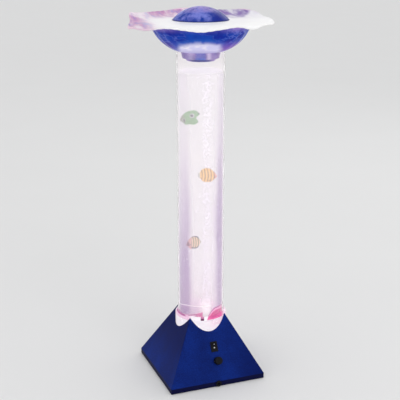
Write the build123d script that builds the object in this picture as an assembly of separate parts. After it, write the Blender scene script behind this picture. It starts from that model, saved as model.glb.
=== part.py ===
from build123d import *
from math import atan2, cos, degrees, hypot, pi, radians, sin, sqrt, tan
import os

# Water column lamp, in millimetres. +Z is up, the origin is the middle of the base on
# the floor, and the face that carries the switch looks along -Y.

# Base shell
base_side = 214
skirt_height = 12
apex_height = 212
shell_wall = 2.5
floor_gap = 1
hole_radius = 56
boss_radius = 5
boss_inset = 23
arris_radius = 1.5

# Bottom plate, feet and screws
plate_thickness = 3
plate_bottom = 3
plate_clearance = 0.3
foot_radius = 6
foot_inset = 12
screw_radius = 1.5
screw_head_radius = 3.2
screw_head_height = 1.8
screw_clearance = 0.2
screw_length = 16
small_screw_radius = 1
small_head_radius = 2
small_head_height = 1.4
small_screw_length = 8

# Tube, plug and socket
tube_radius = 50
tube_wall = 3
tube_bottom = 54
tube_top = 705
fit_clearance = 0.3
slip_clearance = 0.05
socket_cup_wall = 2.2
socket_cup_height = 8
socket_thickness = 4
socket_ledge = 8
lug_reach = 62
lug_radius = 6
post_radius = 5
socket_screw_count = 4
socket_screw_angle = 45
plug_thickness = 12
plug_clearance = 0.2
seal_radius = 1.3
seal_squeeze = 0.1
groove_clearance = 0.1
air_height = 41.5
water_gap = 0.3

# Collar in the shell's hole
collar_clearance = 0.3
collar_seat_drop = 4.3
collar_seat_thickness = 3
collar_edge_drop = 4.6
collar_rise = 1.8
collar_lip = 1

# Air line
hose_radius = 2.5
hose_bore = 1.5
air_bore = 0.8
hose_bend = 18
nozzle_radius = 4
nozzle_flange_radius = 8
nozzle_flange_thickness = 2.5
nozzle_nut_width = 13
nozzle_nut_thickness = 4
barb_length = 14
stone_radius = 12
stone_height = 12
stone_edge = 1.5
stub_length = 6
valve_length = 14
valve_radius = 5
valve_cone = 3

# Lamp board
board_thickness = 1.6
board_height = 40
board_radius = 36
board_hole = 9
pillar_radius = 3.5
pillar_ring = 30
pillar_count = 3
pillar_angle = 30
led_count = 12
led_ring = 20
led_radius = 2.5
led_barrel = 4

# Air pump behind the tube
pump_length = 68
pump_width = 28
pump_height = 28
pump_wall = 2
pump_y = 73
mount_radius = 3.5
mount_height = 3.5
outlet_height = 16
outlet_hole_gap = 0.5
valve_block_length = 18
valve_block_height = 20.5
bellows_radius = 6
bellows_length = 6.5
fold_shares = (1, 0.8, 1, 0.8, 1, 0.8, 1)
arm_thickness = 2
arm_width = 8
arm_height = 23
arm_eye_radius = 3.5
pivot_radius = 1.5
pivot_clearance = 0.1
pivot_inset = 6
magnet_length = 5
magnet_width = 7
magnet_height = 10
magnet_gap = 1
core_length = 18
core_width = 18
core_height = 14
core_leg = 4.5
winding_length = 10
winding_build = 2.6

# Switch, dimmer and inlet on the front
switch_x = 3
switch_rise = 74
bezel_width = 15.5
bezel_length = 22
bezel_thickness = 1.8
switch_body_width = 13
switch_body_length = 19
switch_body_depth = 11
panel_clearance = 0.2
rocker_width = 10.6
rocker_half_length = 8.2
rocker_foot_share = 0.85
rocker_top = 2.8
rocker_depth = 5.2
rocker_pin_radius = 1.2
rocker_pin_length = 0.7
rocker_clearance = 0.3
rocker_tilt = 9
blade_width = 4.8
blade_thickness = 0.8
blade_length = 4.5
blade_offset = 5
dimmer_x = 5
dimmer_rise = 43
dimmer_radius = 8
dimmer_depth = 9
bush_radius = 3.4
bush_length = 2.5
nut_width = 10
nut_thickness = 2
shaft_radius = 2.5
knob_radius = 8.5
knob_height = 12
knob_gap = 0.5
knob_wall = 1.7
knob_skirt_depth = 4.5
knob_flutes = 14
flute_radius = 0.8
shaft_top_gap = 2
inlet_height = 7.5
inlet_radius = 4.5
inlet_bezel_radius = 6.5
inlet_bezel_thickness = 2.5
inlet_bore = 2.8
inlet_bore_depth = 9.5
inlet_pin_radius = 1
inlet_length = 15
inlet_nut_radius = 6
inlet_nut_thickness = 2.5
notch_margin = 2

# Driver board on the left
driver_length = 60
driver_width = 28
driver_x = -72
driver_lift = 6
driver_inset = 4
driver_screw_reach = 19
standoff_radius = 3
plug_width = 5.5
plug_length = 6
plug_height = 6.4
plug_pitch = 7
transformer_length = 15
transformer_width = 14
transformer_height = 14
capacitor_radius = 4
capacitor_height = 12
capacitor_offset = 14.4
parts_shift = 2

# Leads, with the points that each passes between its two ends
lead_radius = 1.2
lead_bend_share = 0.45
exit_run = 10
long_run = 14
lamp_run = 12
inlet_route = [(-18, -74, 10), (-48, -69, 13), (-72, -60, 15.5)]
switch_route = [(-5, -59, 50), (-20, -61, 35), (-42, -55, 25), (-59, -49, 19.5)]
dimmer_route = [(-6, -70, 28), (-28, -66, 21), (-53, -58, 18)]
lamp_route = [(-30, 0, 33), (-36, 0, 23)]
pump_route = [(-44, 73, 19.5), (-60, 69, 18.5), (-70, 56, 17.5)]

# Toy fish: length, height, thickness
fish_sizes = {
    "fish_green": (42, 31, 12),
    "fish_orange": (40, 31, 12),
    "fish_striped": (32, 31, 11),
}
# Where each fish swims: to the right of the axis and towards the viewer
fish_places = {
    "fish_green": (-23, 0),
    "fish_orange": (14, 17),
    "fish_striped": (-15.5, -17),
}
# How far up the water it is, and how far it is turned from a nose to the left
swim_height_shares = {"fish_green": 0.8385, "fish_orange": 0.6393, "fish_striped": 0.3699}
fish_turns = {"fish_green": 0, "fish_orange": 180, "fish_striped": 0}
fish_fin = 1.6
body_taper_angle = 35
fish_room = 1
view_angle = -21
nose_share = 0.5
belly_share = 0.34
belly_place_share = 0.15
tail_root_share = 0.2
fin_shares = [(-0.22, 0.2), (-0.06, 0.5), (0.2, 0.42)]
tail_shares = [(0.2, 0.1), (0.5, 0.34)]
tail_fork_share = 0.4

# Glass on top
glass = 3
foot_depth = 20
foot_step_depth = 14.5
foot_tip_radius = 30
foot_step_radius = 32.4
foot_shoulder_radius = 38
foot_root_radius = 41.3
bowl_rim_radius = 104
bowl_height = 58
belly_out_share = 0.58
belly_up_share = 0.333
belly_wall_share = 0.75
dish_radius = 148
dish_hole_radius = 44
dish_ring_height = 4
dome_radius = 58.3
dome_height = 27.5
dome_wall = 2.5
dome_spigot_height = 2.5
dome_lip = 3

# The dish's wavy rim, from the side that the photograph shows: angle in degrees, rise as
# a share of ruffle_rise and reach as a share of ruffle_reach
ruffle_rise = 13
ruffle_reach = 6
ruffle_shares = [
    (0, -0.23, 0.0), (16, 0.05, 0.1), (26, 0.2, -0.35), (36, 0.68, 0.0),
    (50, 1.0, 0.0), (68, 0.74, -0.3), (86, 0.76, -0.3), (104, 1.0, 0.0),
    (123, 0.66, -0.3), (140, 0.62, -0.2), (158, 0.75, 0.0), (170, 0.9, 0.1),
    (180, 0.0, -0.9), (191, -0.8, 0.0), (208, -0.66, -0.2), (224, -0.66, -0.1),
    (244, -0.16, -0.3), (258, -0.35, -0.2), (270, -0.55, 0.0), (284, -0.25, 0.0),
    (300, 0.0, -0.15), (312, -0.45, 0.0), (326, -0.12, -0.2), (344, -0.2, -0.1),
]
ring_shares = (0, 0.35, 0.7, 1)

# Worked out from the sizes above
overrun = 2
slope = (apex_height - skirt_height) / (base_side / 2)
slope_angle = degrees(atan2(apex_height - skirt_height, base_side / 2))
scallop_low = apex_height - slope * hole_radius
scallop_high = apex_height - slope * hole_radius / sqrt(2)
collar_seat = scallop_low - collar_seat_drop
collar_edge = scallop_high - collar_edge_drop
collar_top = scallop_high + collar_rise
plate_top = plate_bottom + plate_thickness
tube_bore = tube_radius - tube_wall
plug_top = tube_bottom + plug_thickness
socket_bottom = tube_bottom - socket_thickness
board_top = board_height + board_thickness
stone_bottom = plug_top + nozzle_flange_thickness
stone_top = stone_bottom + stone_height
nut_bottom = socket_bottom
barb_bottom = nut_bottom - barb_length
pump_bottom = plate_top + mount_height
pump_front = pump_y - pump_width / 2
pump_inside = pump_front + pump_wall
pump_floor = pump_bottom + pump_wall
valve_middle = (pump_front + hose_bend) / 2
driver_bottom = plate_top + driver_lift
driver_top = driver_bottom + board_thickness
water_level = tube_top - air_height
foot_bottom = tube_top - foot_depth
foot_step = tube_top - foot_step_depth
bowl_belly_radius = tube_radius + belly_out_share * (bowl_rim_radius - tube_radius)
bowl_belly_height = tube_top + belly_up_share * bowl_height
bowl_rim_height = tube_top + bowl_height
dish_bottom = bowl_rim_height
dish_top = bowl_rim_height + glass
dome_top = dish_top + dome_height


def disc(radius, bottom, top, x=0, y=0):
    """An upright cylinder between two heights."""
    return Pos(x, y, (bottom + top) / 2) * Cylinder(radius, top - bottom)


def block(width, depth, bottom, top, x=0, y=0):
    """An upright box between two heights."""
    return Pos(x, y, (bottom + top) / 2) * Box(width, depth, top - bottom)


def turned(points):
    """A solid of revolution about Z from an outline of (radius, height) points."""
    return revolve(make_face(Plane.XZ * Polyline(*points, close=True)), Axis.Z)


def along_y(radius, start, end, x, z):
    """A level cylinder along Y between two places."""
    return Pos(x, (start + end) / 2, z) * Rot(90, 0, 0) * Cylinder(radius, end - start)


def on_front(x, rise):
    """The plane on the front face: x along it, Y up the slope, Z outwards."""
    angle = radians(slope_angle)
    y = -base_side / 2 + rise * cos(angle)
    z = skirt_height + rise * sin(angle)
    return Plane(origin=(x, y, z), x_dir=(1, 0, 0), z_dir=(0, -sin(angle), cos(angle)))


def corners(reach):
    """The four places at the same distance from both axes."""
    return [(sx * reach, sy * reach) for sx in (-1, 1) for sy in (-1, 1)]


def around(ring, count, start):
    """Places spaced evenly on a circle."""
    angles = [radians(start + 360 * i / count) for i in range(count)]
    return [(ring * cos(a), ring * sin(a)) for a in angles]


def screw(shank, length, head, head_height, seat, x, y):
    """A pan-head screw that points down from its seat."""
    return disc(shank, seat - length, seat, x, y) + disc(head, seat, seat + head_height, x, y)


def group(solids):
    """Several separate solids in one node."""
    return Compound(children=[s for item in solids for s in item.solids()])


# Base shell

def house(inset, bottom):
    """The pyramid with its skirt, drawn in by a wall, as two crossed prisms."""
    half = base_side / 2 - inset
    apex = apex_height - inset / cos(radians(slope_angle))
    eave = apex - slope * half
    outline = Polyline(
        (-half, bottom), (half, bottom), (half, eave), (0, apex), (-half, eave), close=True
    )
    prism = extrude(make_face(Plane.XZ * outline), half, both=True)
    return prism & (Rot(0, 0, 90) * prism)


def rounded_house():
    """The outside, its unused tip cut off, with its sloping and upright corners rounded."""
    outside = house(0, floor_gap) - block(base_side, base_side, collar_top, 2 * apex_height)
    flat = outside.edges().filter_by(Plane.XY)
    return fillet([edge for edge in outside.edges() if edge not in flat], arris_radius)


def shell_bosses():
    """Screw bosses in the corners, up to the sloping walls."""
    reach = base_side / 2 - boss_inset
    return [disc(boss_radius, plate_top, collar_seat, x, y) for x, y in corners(reach)]


def switch_cutout():
    """The hole that the switch body snaps into."""
    width = switch_body_width + 2 * panel_clearance
    length = switch_body_length + 2 * panel_clearance
    return on_front(switch_x, switch_rise) * Box(width, length, 4 * shell_wall)


def bush_hole():
    """The round hole for the dimmer's threaded bush."""
    return on_front(dimmer_x, dimmer_rise) * Cylinder(bush_radius + panel_clearance, 4 * shell_wall)


def inlet_hole():
    """The round hole in the skirt for the power inlet."""
    wall = -base_side / 2
    radius = inlet_radius + panel_clearance
    return along_y(radius, wall - overrun, wall + shell_wall + overrun, 0, inlet_height)


def nut_pocket():
    """A flat spot inside the skirt, where the leaning wall would meet the nut."""
    inside = -base_side / 2 + shell_wall
    radius = inlet_nut_radius + fit_clearance
    return along_y(radius, inside, inside + 2 * inlet_nut_thickness, 0, inlet_height)


def base_shell():
    outer = rounded_house()
    inner = house(shell_wall, floor_gap - overrun)
    ledge_bottom = collar_seat - collar_seat_thickness
    ledge = disc(hole_radius + 2 * shell_wall, ledge_bottom, collar_seat) & outer
    shell = outer - inner + ledge
    for boss in shell_bosses():
        shell += boss & outer
    shell -= disc(hole_radius, collar_seat, apex_height)
    shell -= disc(tube_radius + 2 * fit_clearance, ledge_bottom - overrun, apex_height)
    for x, y in corners(base_side / 2 - boss_inset):
        shell -= disc(screw_radius + screw_clearance / 2, plate_top - overrun,
                      plate_top + screw_length, x, y)
    return shell - switch_cutout() - bush_hole() - inlet_hole() - nut_pocket()


def pillar_places():
    return around(pillar_ring, pillar_count, pillar_angle)


def bottom_plate():
    """Flat plate with the posts that carry what is inside."""
    side = base_side - 2 * (shell_wall + plate_clearance)
    plate = block(side, side, plate_bottom, plate_top)
    notch = 2 * (inlet_nut_radius + notch_margin)
    notch_end = -base_side / 2 + inlet_length + notch_margin
    plate -= block(notch, 2 * (notch_end + side / 2), 0, 2 * plate_top, 0, -side / 2)
    for x, y in socket_screw_places():
        post = disc(post_radius, plate_top, socket_bottom, x, y)
        plate += post - disc(screw_radius, socket_bottom - screw_length, socket_bottom, x, y)
    for x, y in pillar_places():
        post = disc(pillar_radius, plate_top, board_height, x, y)
        plate += post - disc(small_screw_radius, board_height - small_screw_length,
                             board_height, x, y)
    for x, y in driver_corners():
        post = disc(standoff_radius, plate_top, driver_bottom, x, y)
        plate += post - disc(small_screw_radius, plate_top, driver_bottom, x, y)
    for x, y in corners(base_side / 2 - boss_inset):
        plate -= disc(screw_radius + screw_clearance, 0, 2 * plate_top, x, y)
        plate -= disc(screw_head_radius + screw_clearance, 0, plate_bottom + screw_head_height, x, y)
    return plate


def rubber_feet():
    reach = base_side / 2 - foot_inset
    return group([disc(foot_radius, 0, plate_bottom, x, y) for x, y in corners(reach)])


def bottom_screws():
    """Screws from below, sunk in the plate, up into the shell's bosses."""
    made = []
    seat = plate_bottom + screw_head_height
    for x, y in corners(base_side / 2 - boss_inset):
        made.append(disc(screw_radius, seat, seat + screw_length - overrun, x, y)
                    + disc(screw_head_radius, plate_bottom, seat, x, y))
    return group(made)


# Tube, its plug and its socket

def socket_screw_places():
    return around(lug_reach, socket_screw_count, socket_screw_angle)


def tube():
    return disc(tube_radius, tube_bottom, tube_top) - disc(tube_bore, 0, 2 * tube_top)


def tube_socket():
    """Ring with a low cup that the tube stands in, and four lugs."""
    cup_inside = tube_radius + fit_clearance
    cup_outside = cup_inside + socket_cup_wall
    ring = disc(cup_outside, socket_bottom, tube_bottom + socket_cup_height)
    ring -= disc(cup_inside, tube_bottom, 2 * tube_bottom)
    for x, y in socket_screw_places():
        arm = Rot(0, 0, degrees(atan2(y, x))) * block(
            lug_reach, 2 * lug_radius, socket_bottom, tube_bottom, lug_reach / 2
        )
        ring += arm - disc(cup_inside, 0, 2 * tube_bottom)
        ring += disc(lug_radius, socket_bottom, tube_bottom, x, y)
    ring -= disc(tube_radius - socket_ledge, 0, 2 * tube_bottom)
    for x, y in socket_screw_places():
        ring -= disc(screw_radius + screw_clearance, 0, 2 * tube_bottom, x, y)
    return ring


def socket_screws():
    made = [
        screw(screw_radius, screw_length - overrun, screw_head_radius, screw_head_height,
              tube_bottom, x, y)
        for x, y in socket_screw_places()
    ]
    return group(made)


def tube_plug():
    """Clear disc in the tube's lower end, with a groove for its seal."""
    middle = (tube_bottom + plug_top) / 2
    groove_half = seal_radius + groove_clearance
    groove_radius = tube_bore - seal_squeeze - 2 * seal_radius - groove_clearance
    plug = disc(tube_bore - plug_clearance, tube_bottom, plug_top)
    groove = disc(tube_radius, middle - groove_half, middle + groove_half)
    plug -= groove - disc(groove_radius, 0, 2 * tube_bottom)
    return plug - disc(nozzle_radius + slip_clearance, 0, 2 * plug_top)


def plug_seal():
    ring = tube_bore - seal_squeeze - seal_radius
    return Pos(0, 0, (tube_bottom + plug_top) / 2) * Torus(ring, seal_radius)


def tube_collar():
    """Clear ring between the tube and the edge of the shell's hole."""
    inside = tube_radius + fit_clearance
    outside = hole_radius - collar_clearance
    return turned([
        (inside, collar_seat), (outside, collar_seat), (outside, collar_edge),
        (inside + collar_lip, collar_top), (inside, collar_top),
    ])


def water():
    """The filling, with room left for the air stone and each fish."""
    column = disc(tube_bore - water_gap, plug_top, water_level)
    column -= disc(stone_radius + water_gap, 0, stone_top + water_gap)
    for name, (length, height, thickness) in fish_sizes.items():
        room = Box(length + 2 * fish_room, thickness + 2 * fish_room, height + 2 * fish_room)
        column -= fish_spot(name) * room
    return column


# Air line

def air_nozzle():
    """Flanged fitting through the plug, with a barb below and a stub above."""
    body = disc(nozzle_flange_radius, plug_top, stone_bottom)
    body += disc(nozzle_radius, nut_bottom, plug_top)
    body += disc(hose_bore - slip_clearance, barb_bottom, nut_bottom)
    body += disc(hose_bore - slip_clearance, stone_bottom, stone_bottom + stub_length)
    return body - disc(air_bore, 0, stone_top)


def nozzle_nut():
    hexagon = Pos(0, 0, nut_bottom) * extrude(RegularPolygon(nozzle_nut_width / 2, 6, False),
                                              nozzle_nut_thickness)
    return hexagon - disc(nozzle_radius + slip_clearance, 0, 2 * tube_bottom)


def air_stone():
    stone = chamfer(disc(stone_radius, stone_bottom, stone_top).edges().group_by(Axis.Z)[-1],
                    stone_edge)
    return stone - disc(hose_bore, 0, stone_bottom + stub_length + slip_clearance)


def hollow_hose(path):
    """A hose along a path, with its bore."""
    start = Plane(origin=path @ 0, z_dir=path % 0)
    outside = sweep(start * Circle(hose_radius), path)
    return outside - sweep(start * Circle(hose_bore), path)


def hose_upper():
    """From the check valve, round one bend and up onto the nozzle's barb."""
    start = valve_middle - valve_length / 2
    path = FilletPolyline(
        (0, start, outlet_height), (0, 0, outlet_height), (0, 0, nut_bottom), radius=hose_bend
    )
    return hollow_hose(path)


def hose_lower():
    """The short run from the pump to the check valve."""
    start = valve_middle + valve_length / 2
    hose = along_y(hose_radius, start, pump_inside, 0, outlet_height)
    return hose - along_y(hose_bore, start - overrun, pump_inside + overrun, 0, outlet_height)


def check_valve():
    """Round valve body with a stem into each hose."""
    half = valve_length / 2
    stem_radius = hose_bore - slip_clearance
    reach = half + stub_length
    outline = [
        (0, -reach), (stem_radius, -reach), (stem_radius, -half), (hose_radius, -half),
        (valve_radius, -half + valve_cone), (valve_radius, half - valve_cone),
        (hose_radius, half), (stem_radius, half), (stem_radius, reach), (0, reach),
    ]
    body = turned(outline) - Cylinder(air_bore, 2 * reach + overrun)
    return Pos(0, valve_middle, outlet_height) * Rot(90, 0, 0) * body


# Lamp board

def led_board():
    board = disc(board_radius, board_height, board_top) - disc(board_hole, 0, 2 * board_top)
    for x, y in pillar_places():
        board -= disc(small_screw_radius + screw_clearance, 0, 2 * board_top, x, y)
    return board


def leds():
    made = []
    for x, y in around(led_ring, led_count, 0):
        barrel = disc(led_radius, board_top, board_top + led_barrel, x, y)
        made.append(barrel + Pos(x, y, board_top + led_barrel) * Sphere(led_radius))
    return group(made)


def led_screws():
    made = [
        screw(small_screw_radius - slip_clearance, small_screw_length - overrun,
              small_head_radius, small_head_height, board_top, x, y)
        for x, y in pillar_places()
    ]
    return group(made)


# Air pump

def pump_case():
    top = pump_bottom + pump_height
    case = block(pump_length, pump_width, pump_bottom, top, 0, pump_y)
    case = fillet(case.edges().group_by(Axis.Z)[-1], pump_wall / 2)
    case -= block(pump_length - 2 * pump_wall, pump_width - 2 * pump_wall,
                  pump_bottom - overrun, top - pump_wall, 0, pump_y)
    radius = hose_radius + outlet_hole_gap
    return case - along_y(radius, pump_front - overrun, pump_inside + overrun, 0, outlet_height)


def pump_base():
    inside = 2 * (pump_wall + plate_clearance)
    return block(pump_length - inside, pump_width - inside, pump_bottom, pump_floor, 0, pump_y)


def pump_mounts():
    reach_x = pump_length / 2 - 3 * mount_radius
    reach_y = pump_width / 2 - 2 * mount_radius
    made = [
        disc(mount_radius, plate_top, pump_bottom, sx * reach_x, pump_y + sy * reach_y)
        for sx in (-1, 1) for sy in (-1, 1)
    ]
    return group(made)


def core_end():
    """The core's closed end, against the case's right wall."""
    return pump_length / 2 - pump_wall - plate_clearance


def core_height_span():
    return arm_height - core_height / 2, arm_height + core_height / 2


def pump_core():
    """Laminated U core that lies on its side, with its poles towards the magnet."""
    low, high = core_height_span()
    middle = core_end() - core_length / 2
    core = block(core_length, core_width, pump_floor, high, middle, pump_y)
    gap = core_width - 2 * core_leg
    return core - block(core_length, gap, 0, 2 * high, middle - core_leg, pump_y)


def pump_winding():
    """Coil round the core's front leg."""
    low, high = core_height_span()
    leg_y = pump_y - core_width / 2 + core_leg / 2
    x = core_end() - core_leg - winding_length / 2 - 2 * fit_clearance
    hole = core_leg + 2 * fit_clearance
    outside = hole + 2 * winding_build - 2 * fit_clearance
    coil = block(winding_length, outside, low, high + winding_build, x, leg_y)
    return coil - block(2 * winding_length, hole, 0, high + fit_clearance, x, leg_y)


def pivot_x():
    return -pump_length / 2 + pump_wall + pivot_inset


def magnet_end():
    """The magnet's tip, a gap away from the core's poles."""
    return core_end() - core_length - magnet_gap


def pump_pivot():
    """Upright pin that stands on the pump's base."""
    top = pump_bottom + pump_height - pump_wall - fit_clearance
    pin = disc(pivot_radius, pump_floor, top, pivot_x(), pump_y)
    collar_top_height = arm_height - arm_width / 2 - fit_clearance
    return pin + disc(arm_eye_radius, pump_floor, collar_top_height, pivot_x(), pump_y)


def pump_arm():
    """Flat arm with an eye on the pivot pin."""
    low, high = arm_height - arm_width / 2, arm_height + arm_width / 2
    length = magnet_end() - magnet_length - pivot_x()
    arm = block(length, arm_thickness, low, high, pivot_x() + length / 2, pump_y)
    arm += disc(arm_eye_radius, low, high, pivot_x(), pump_y)
    return arm - disc(pivot_radius + pivot_clearance, 0, 2 * high, pivot_x(), pump_y)


def pump_magnet():
    low, high = arm_height - magnet_height / 2, arm_height + magnet_height / 2
    return block(magnet_length, magnet_width, low, high, magnet_end() - magnet_length / 2, pump_y)


def pump_bellows():
    """Rubber bellows between the arm and the valve block."""
    end = pump_y - arm_thickness / 2
    fold = bellows_length / (len(fold_shares) - 1)
    outline = [(0, 0)] + [(bellows_radius * r, fold * i) for i, r in enumerate(fold_shares)]
    outline.append((0, bellows_length))
    return Pos(0, end, arm_height) * Rot(90, 0, 0) * turned(outline)


def pump_valve_block():
    """Block that the bellows push into, with the outlet stem."""
    back = pump_y - arm_thickness / 2 - bellows_length
    front = pump_inside + plate_clearance
    depth = back - front
    body = block(valve_block_length, depth, pump_floor, pump_floor + valve_block_height,
                 0, front + depth / 2)
    stem_end = pump_front - stub_length
    body += along_y(hose_bore - slip_clearance, stem_end, front, 0, outlet_height)
    return body - along_y(air_bore, stem_end - overrun, front + depth / 2, 0, outlet_height)


# Switch, dimmer and inlet

def switch_housing():
    body = Pos(0, 0, bezel_thickness / 2) * Box(bezel_width, bezel_length, bezel_thickness)
    body = fillet(body.edges().group_by(Axis.Z)[-1], bezel_thickness / 3)
    body += Pos(0, 0, -switch_body_depth / 2) * Box(
        switch_body_width, switch_body_length, switch_body_depth
    )
    well_half = hypot(rocker_half_length, rocker_top) + rocker_clearance / 2
    well_width = rocker_width + 2 * rocker_clearance
    well_depth = rocker_depth + 2 * rocker_clearance
    well = Pos(0, 0, (bezel_thickness - well_depth) / 2) * Box(
        well_width, 2 * well_half, bezel_thickness + well_depth
    )
    pin = rocker_pin_radius + pivot_clearance
    pins = Rot(0, 90, 0) * Cylinder(pin, well_width + 2 * rocker_pin_length)
    return on_front(switch_x, switch_rise) * (body - well - pins)


def switch_rocker():
    """Rocker with a dished top, at rest with its lower end pressed in."""
    half, top = rocker_half_length, rocker_top
    foot = rocker_foot_share * half
    outline = Polyline(
        (-half, top), (0, top / 2), (half, top), (foot, -top),
        (0, -rocker_depth), (-foot, -top), close=True,
    )
    rocker = extrude(make_face(Plane.YZ * outline), rocker_width / 2, both=True)
    rocker += Rot(0, 90, 0) * Cylinder(rocker_pin_radius, rocker_width + 2 * rocker_pin_length)
    return on_front(switch_x, switch_rise) * Rot(rocker_tilt, 0, 0) * rocker


def switch_terminals():
    blades = [
        Pos(0, side * blade_offset, -switch_body_depth - blade_length / 2)
        * Box(blade_width, blade_thickness, blade_length)
        for side in (-1, 1)
    ]
    return group([on_front(switch_x, switch_rise) * blade for blade in blades])


def dimmer_place():
    return on_front(dimmer_x, dimmer_rise)


def dimmer_body():
    """Round body behind the wall, with its bush through the wall."""
    can = Pos(0, 0, -shell_wall - dimmer_depth / 2) * Cylinder(dimmer_radius, dimmer_depth)
    bush_span = shell_wall + bush_length
    bush = Pos(0, 0, bush_length - bush_span / 2) * Cylinder(bush_radius, bush_span)
    bore_span = bush_span + dimmer_depth - shell_wall
    bore = Pos(0, 0, bush_length - bore_span / 2) * Cylinder(
        shaft_radius + slip_clearance, bore_span
    )
    return dimmer_place() * (can + bush - bore)


def dimmer_nut():
    nut = extrude(RegularPolygon(nut_width / 2, 6, False), nut_thickness)
    return dimmer_place() * (nut - Cylinder(bush_radius + slip_clearance, 4 * nut_thickness))


def dimmer_shaft():
    bottom = -shell_wall - dimmer_depth + shell_wall + slip_clearance
    top = knob_gap + knob_height - shaft_top_gap - slip_clearance
    return dimmer_place() * Pos(0, 0, (bottom + top) / 2) * Cylinder(shaft_radius, top - bottom)


def knob():
    """Fluted knob, hollow over the nut, with a flat pointer groove on top."""
    body = Pos(0, 0, knob_gap + knob_height / 2) * Cylinder(knob_radius, knob_height)
    body = chamfer(body.edges().group_by(Axis.Z)[-1], knob_wall / 2)
    body -= Pos(0, 0, knob_gap + knob_skirt_depth / 2) * Cylinder(
        knob_radius - knob_wall, knob_skirt_depth
    )
    for x, y in around(knob_radius, knob_flutes, 0):
        body -= Pos(x, y, knob_gap + knob_height / 2) * Cylinder(flute_radius, 2 * knob_height)
    bore_top = knob_gap + knob_height - shaft_top_gap
    body -= Pos(0, 0, bore_top / 2) * Cylinder(shaft_radius + slip_clearance, bore_top)
    pointer = Pos(0, knob_radius / 2, knob_gap + knob_height) * Box(
        flute_radius, knob_radius, flute_radius
    )
    return dimmer_place() * (body - pointer)


def power_inlet():
    """Round socket through the skirt, with a pin in its bore and a solid tail."""
    wall = -base_side / 2
    body = along_y(inlet_bezel_radius, wall - inlet_bezel_thickness, wall, 0, inlet_height)
    body += along_y(inlet_radius, wall, wall + inlet_length, 0, inlet_height)
    mouth = wall - inlet_bezel_thickness
    body -= along_y(inlet_bore, mouth - overrun, mouth + inlet_bore_depth, 0, inlet_height)
    return body + along_y(inlet_pin_radius, mouth + inlet_bezel_thickness,
                          mouth + inlet_bore_depth + overrun, 0, inlet_height)


def inlet_nut():
    inside = -base_side / 2 + shell_wall
    nut = along_y(inlet_nut_radius, inside, inside + inlet_nut_thickness, 0, inlet_height)
    bore = inlet_radius + slip_clearance
    return nut - along_y(bore, inside - overrun, inside + 2 * overrun, 0, inlet_height)


# Driver board

def driver_corners():
    reach_x = driver_width / 2 - driver_inset
    return [
        (driver_x + sx * reach_x, sy * driver_screw_reach) for sx in (-1, 1) for sy in (-1, 1)
    ]


def driver_board():
    board = block(driver_width, driver_length, driver_bottom, driver_top, driver_x)
    for x, y in driver_corners():
        board -= disc(small_screw_radius + screw_clearance, 0, 2 * driver_top, x, y)
    return board


def lead_socket(x, y, along_x=False):
    """A small plug socket whose outer face meets a lead."""
    width, depth = (plug_length, plug_width) if along_x else (plug_width, plug_length)
    return block(width, depth, driver_top, driver_top + plug_height, x, y)


def plug_y():
    return driver_length / 2 - plug_length / 2


def driver_parts():
    """Transformer, two capacitors and the sockets of the leads."""
    x = driver_x - parts_shift
    made = [block(transformer_width, transformer_length, driver_top,
                  driver_top + transformer_height, x)]
    for y in (-capacitor_offset, capacitor_offset):
        cap = disc(capacitor_radius, driver_top, driver_top + capacitor_height, x, y)
        made.append(fillet(cap.edges().group_by(Axis.Z)[-1], capacitor_radius / 8))
    for step in (-1, 0, 1):
        made.append(lead_socket(driver_x + step * plug_pitch, -plug_y()))
    made.append(lead_socket(driver_x, plug_y()))
    made.append(lead_socket(driver_x + (driver_width - plug_length) / 2, 0, True))
    return group(made)


def driver_screws():
    made = [
        screw(small_screw_radius - slip_clearance, driver_lift - fit_clearance + board_thickness,
              small_head_radius, small_head_height, driver_top, x, y)
        for x, y in driver_corners()
    ]
    return group(made)


# Leads held inside the base

def lead(name, start, points, end, last_run):
    """A round lead through its points, straight out of its start and into its end."""
    route = [start] + [Vector(p) for p in points] + [end + Vector(last_run), end]
    radii = []
    for before, here, after in zip(route, route[1:], route[2:]):
        turn = radians((here - before).get_angle(after - here))
        shorter = min((here - before).length, (after - here).length)
        radii.append(lead_bend_share * shorter / tan(turn / 2))
    print(name, "least bend", round(min(radii), 1))
    path = FilletPolyline(*route, radius=radii)
    made = sweep(Plane(origin=path @ 0, z_dir=path % 0) * Circle(lead_radius), path)
    want = path.length * pi * lead_radius ** 2
    print(name, "length", round(path.length, 1), "volume share", round(made.volume / want, 4))
    return made


def socket_face(step):
    """Where a lead meets one of the three sockets on the board's front edge."""
    x = driver_x + step * plug_pitch
    return Vector(x, -driver_length / 2, driver_top + plug_height / 2)


def behind(place, up, depth):
    """A point behind the front wall, up the slope from a place on it."""
    return place.from_local_coords(Vector(0, up, -depth))


def lead_inlet():
    start = Vector(0, -base_side / 2 + inlet_length, inlet_height)
    points = [start + Vector(0, exit_run, 0)] + inlet_route
    return lead("lead_inlet", start, points, socket_face(-1), (0, -long_run, 0))


def lead_switch():
    place = on_front(switch_x, switch_rise)
    start = behind(place, -blade_offset, switch_body_depth + blade_length)
    next_point = behind(place, -blade_offset, switch_body_depth + 2 * blade_length)
    points = [next_point] + switch_route
    return lead("lead_switch", start, points, socket_face(1), (0, -exit_run, 0))


def lead_dimmer():
    depth = shell_wall + dimmer_depth
    start = behind(dimmer_place(), -dimmer_radius / 2, depth)
    next_point = behind(dimmer_place(), -dimmer_radius / 2, depth + 5 * lead_radius)
    points = [next_point] + dimmer_route
    return lead("lead_dimmer", start, points, socket_face(0), (0, -long_run, 0))


def lead_lamp():
    start = Vector(-board_radius + 3 * small_head_radius, 0, board_height)
    end = Vector(driver_x + driver_width / 2, 0, driver_top + plug_height / 2)
    return lead("lead_lamp", start, lamp_route, end, (lamp_run, 0, 0))


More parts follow.
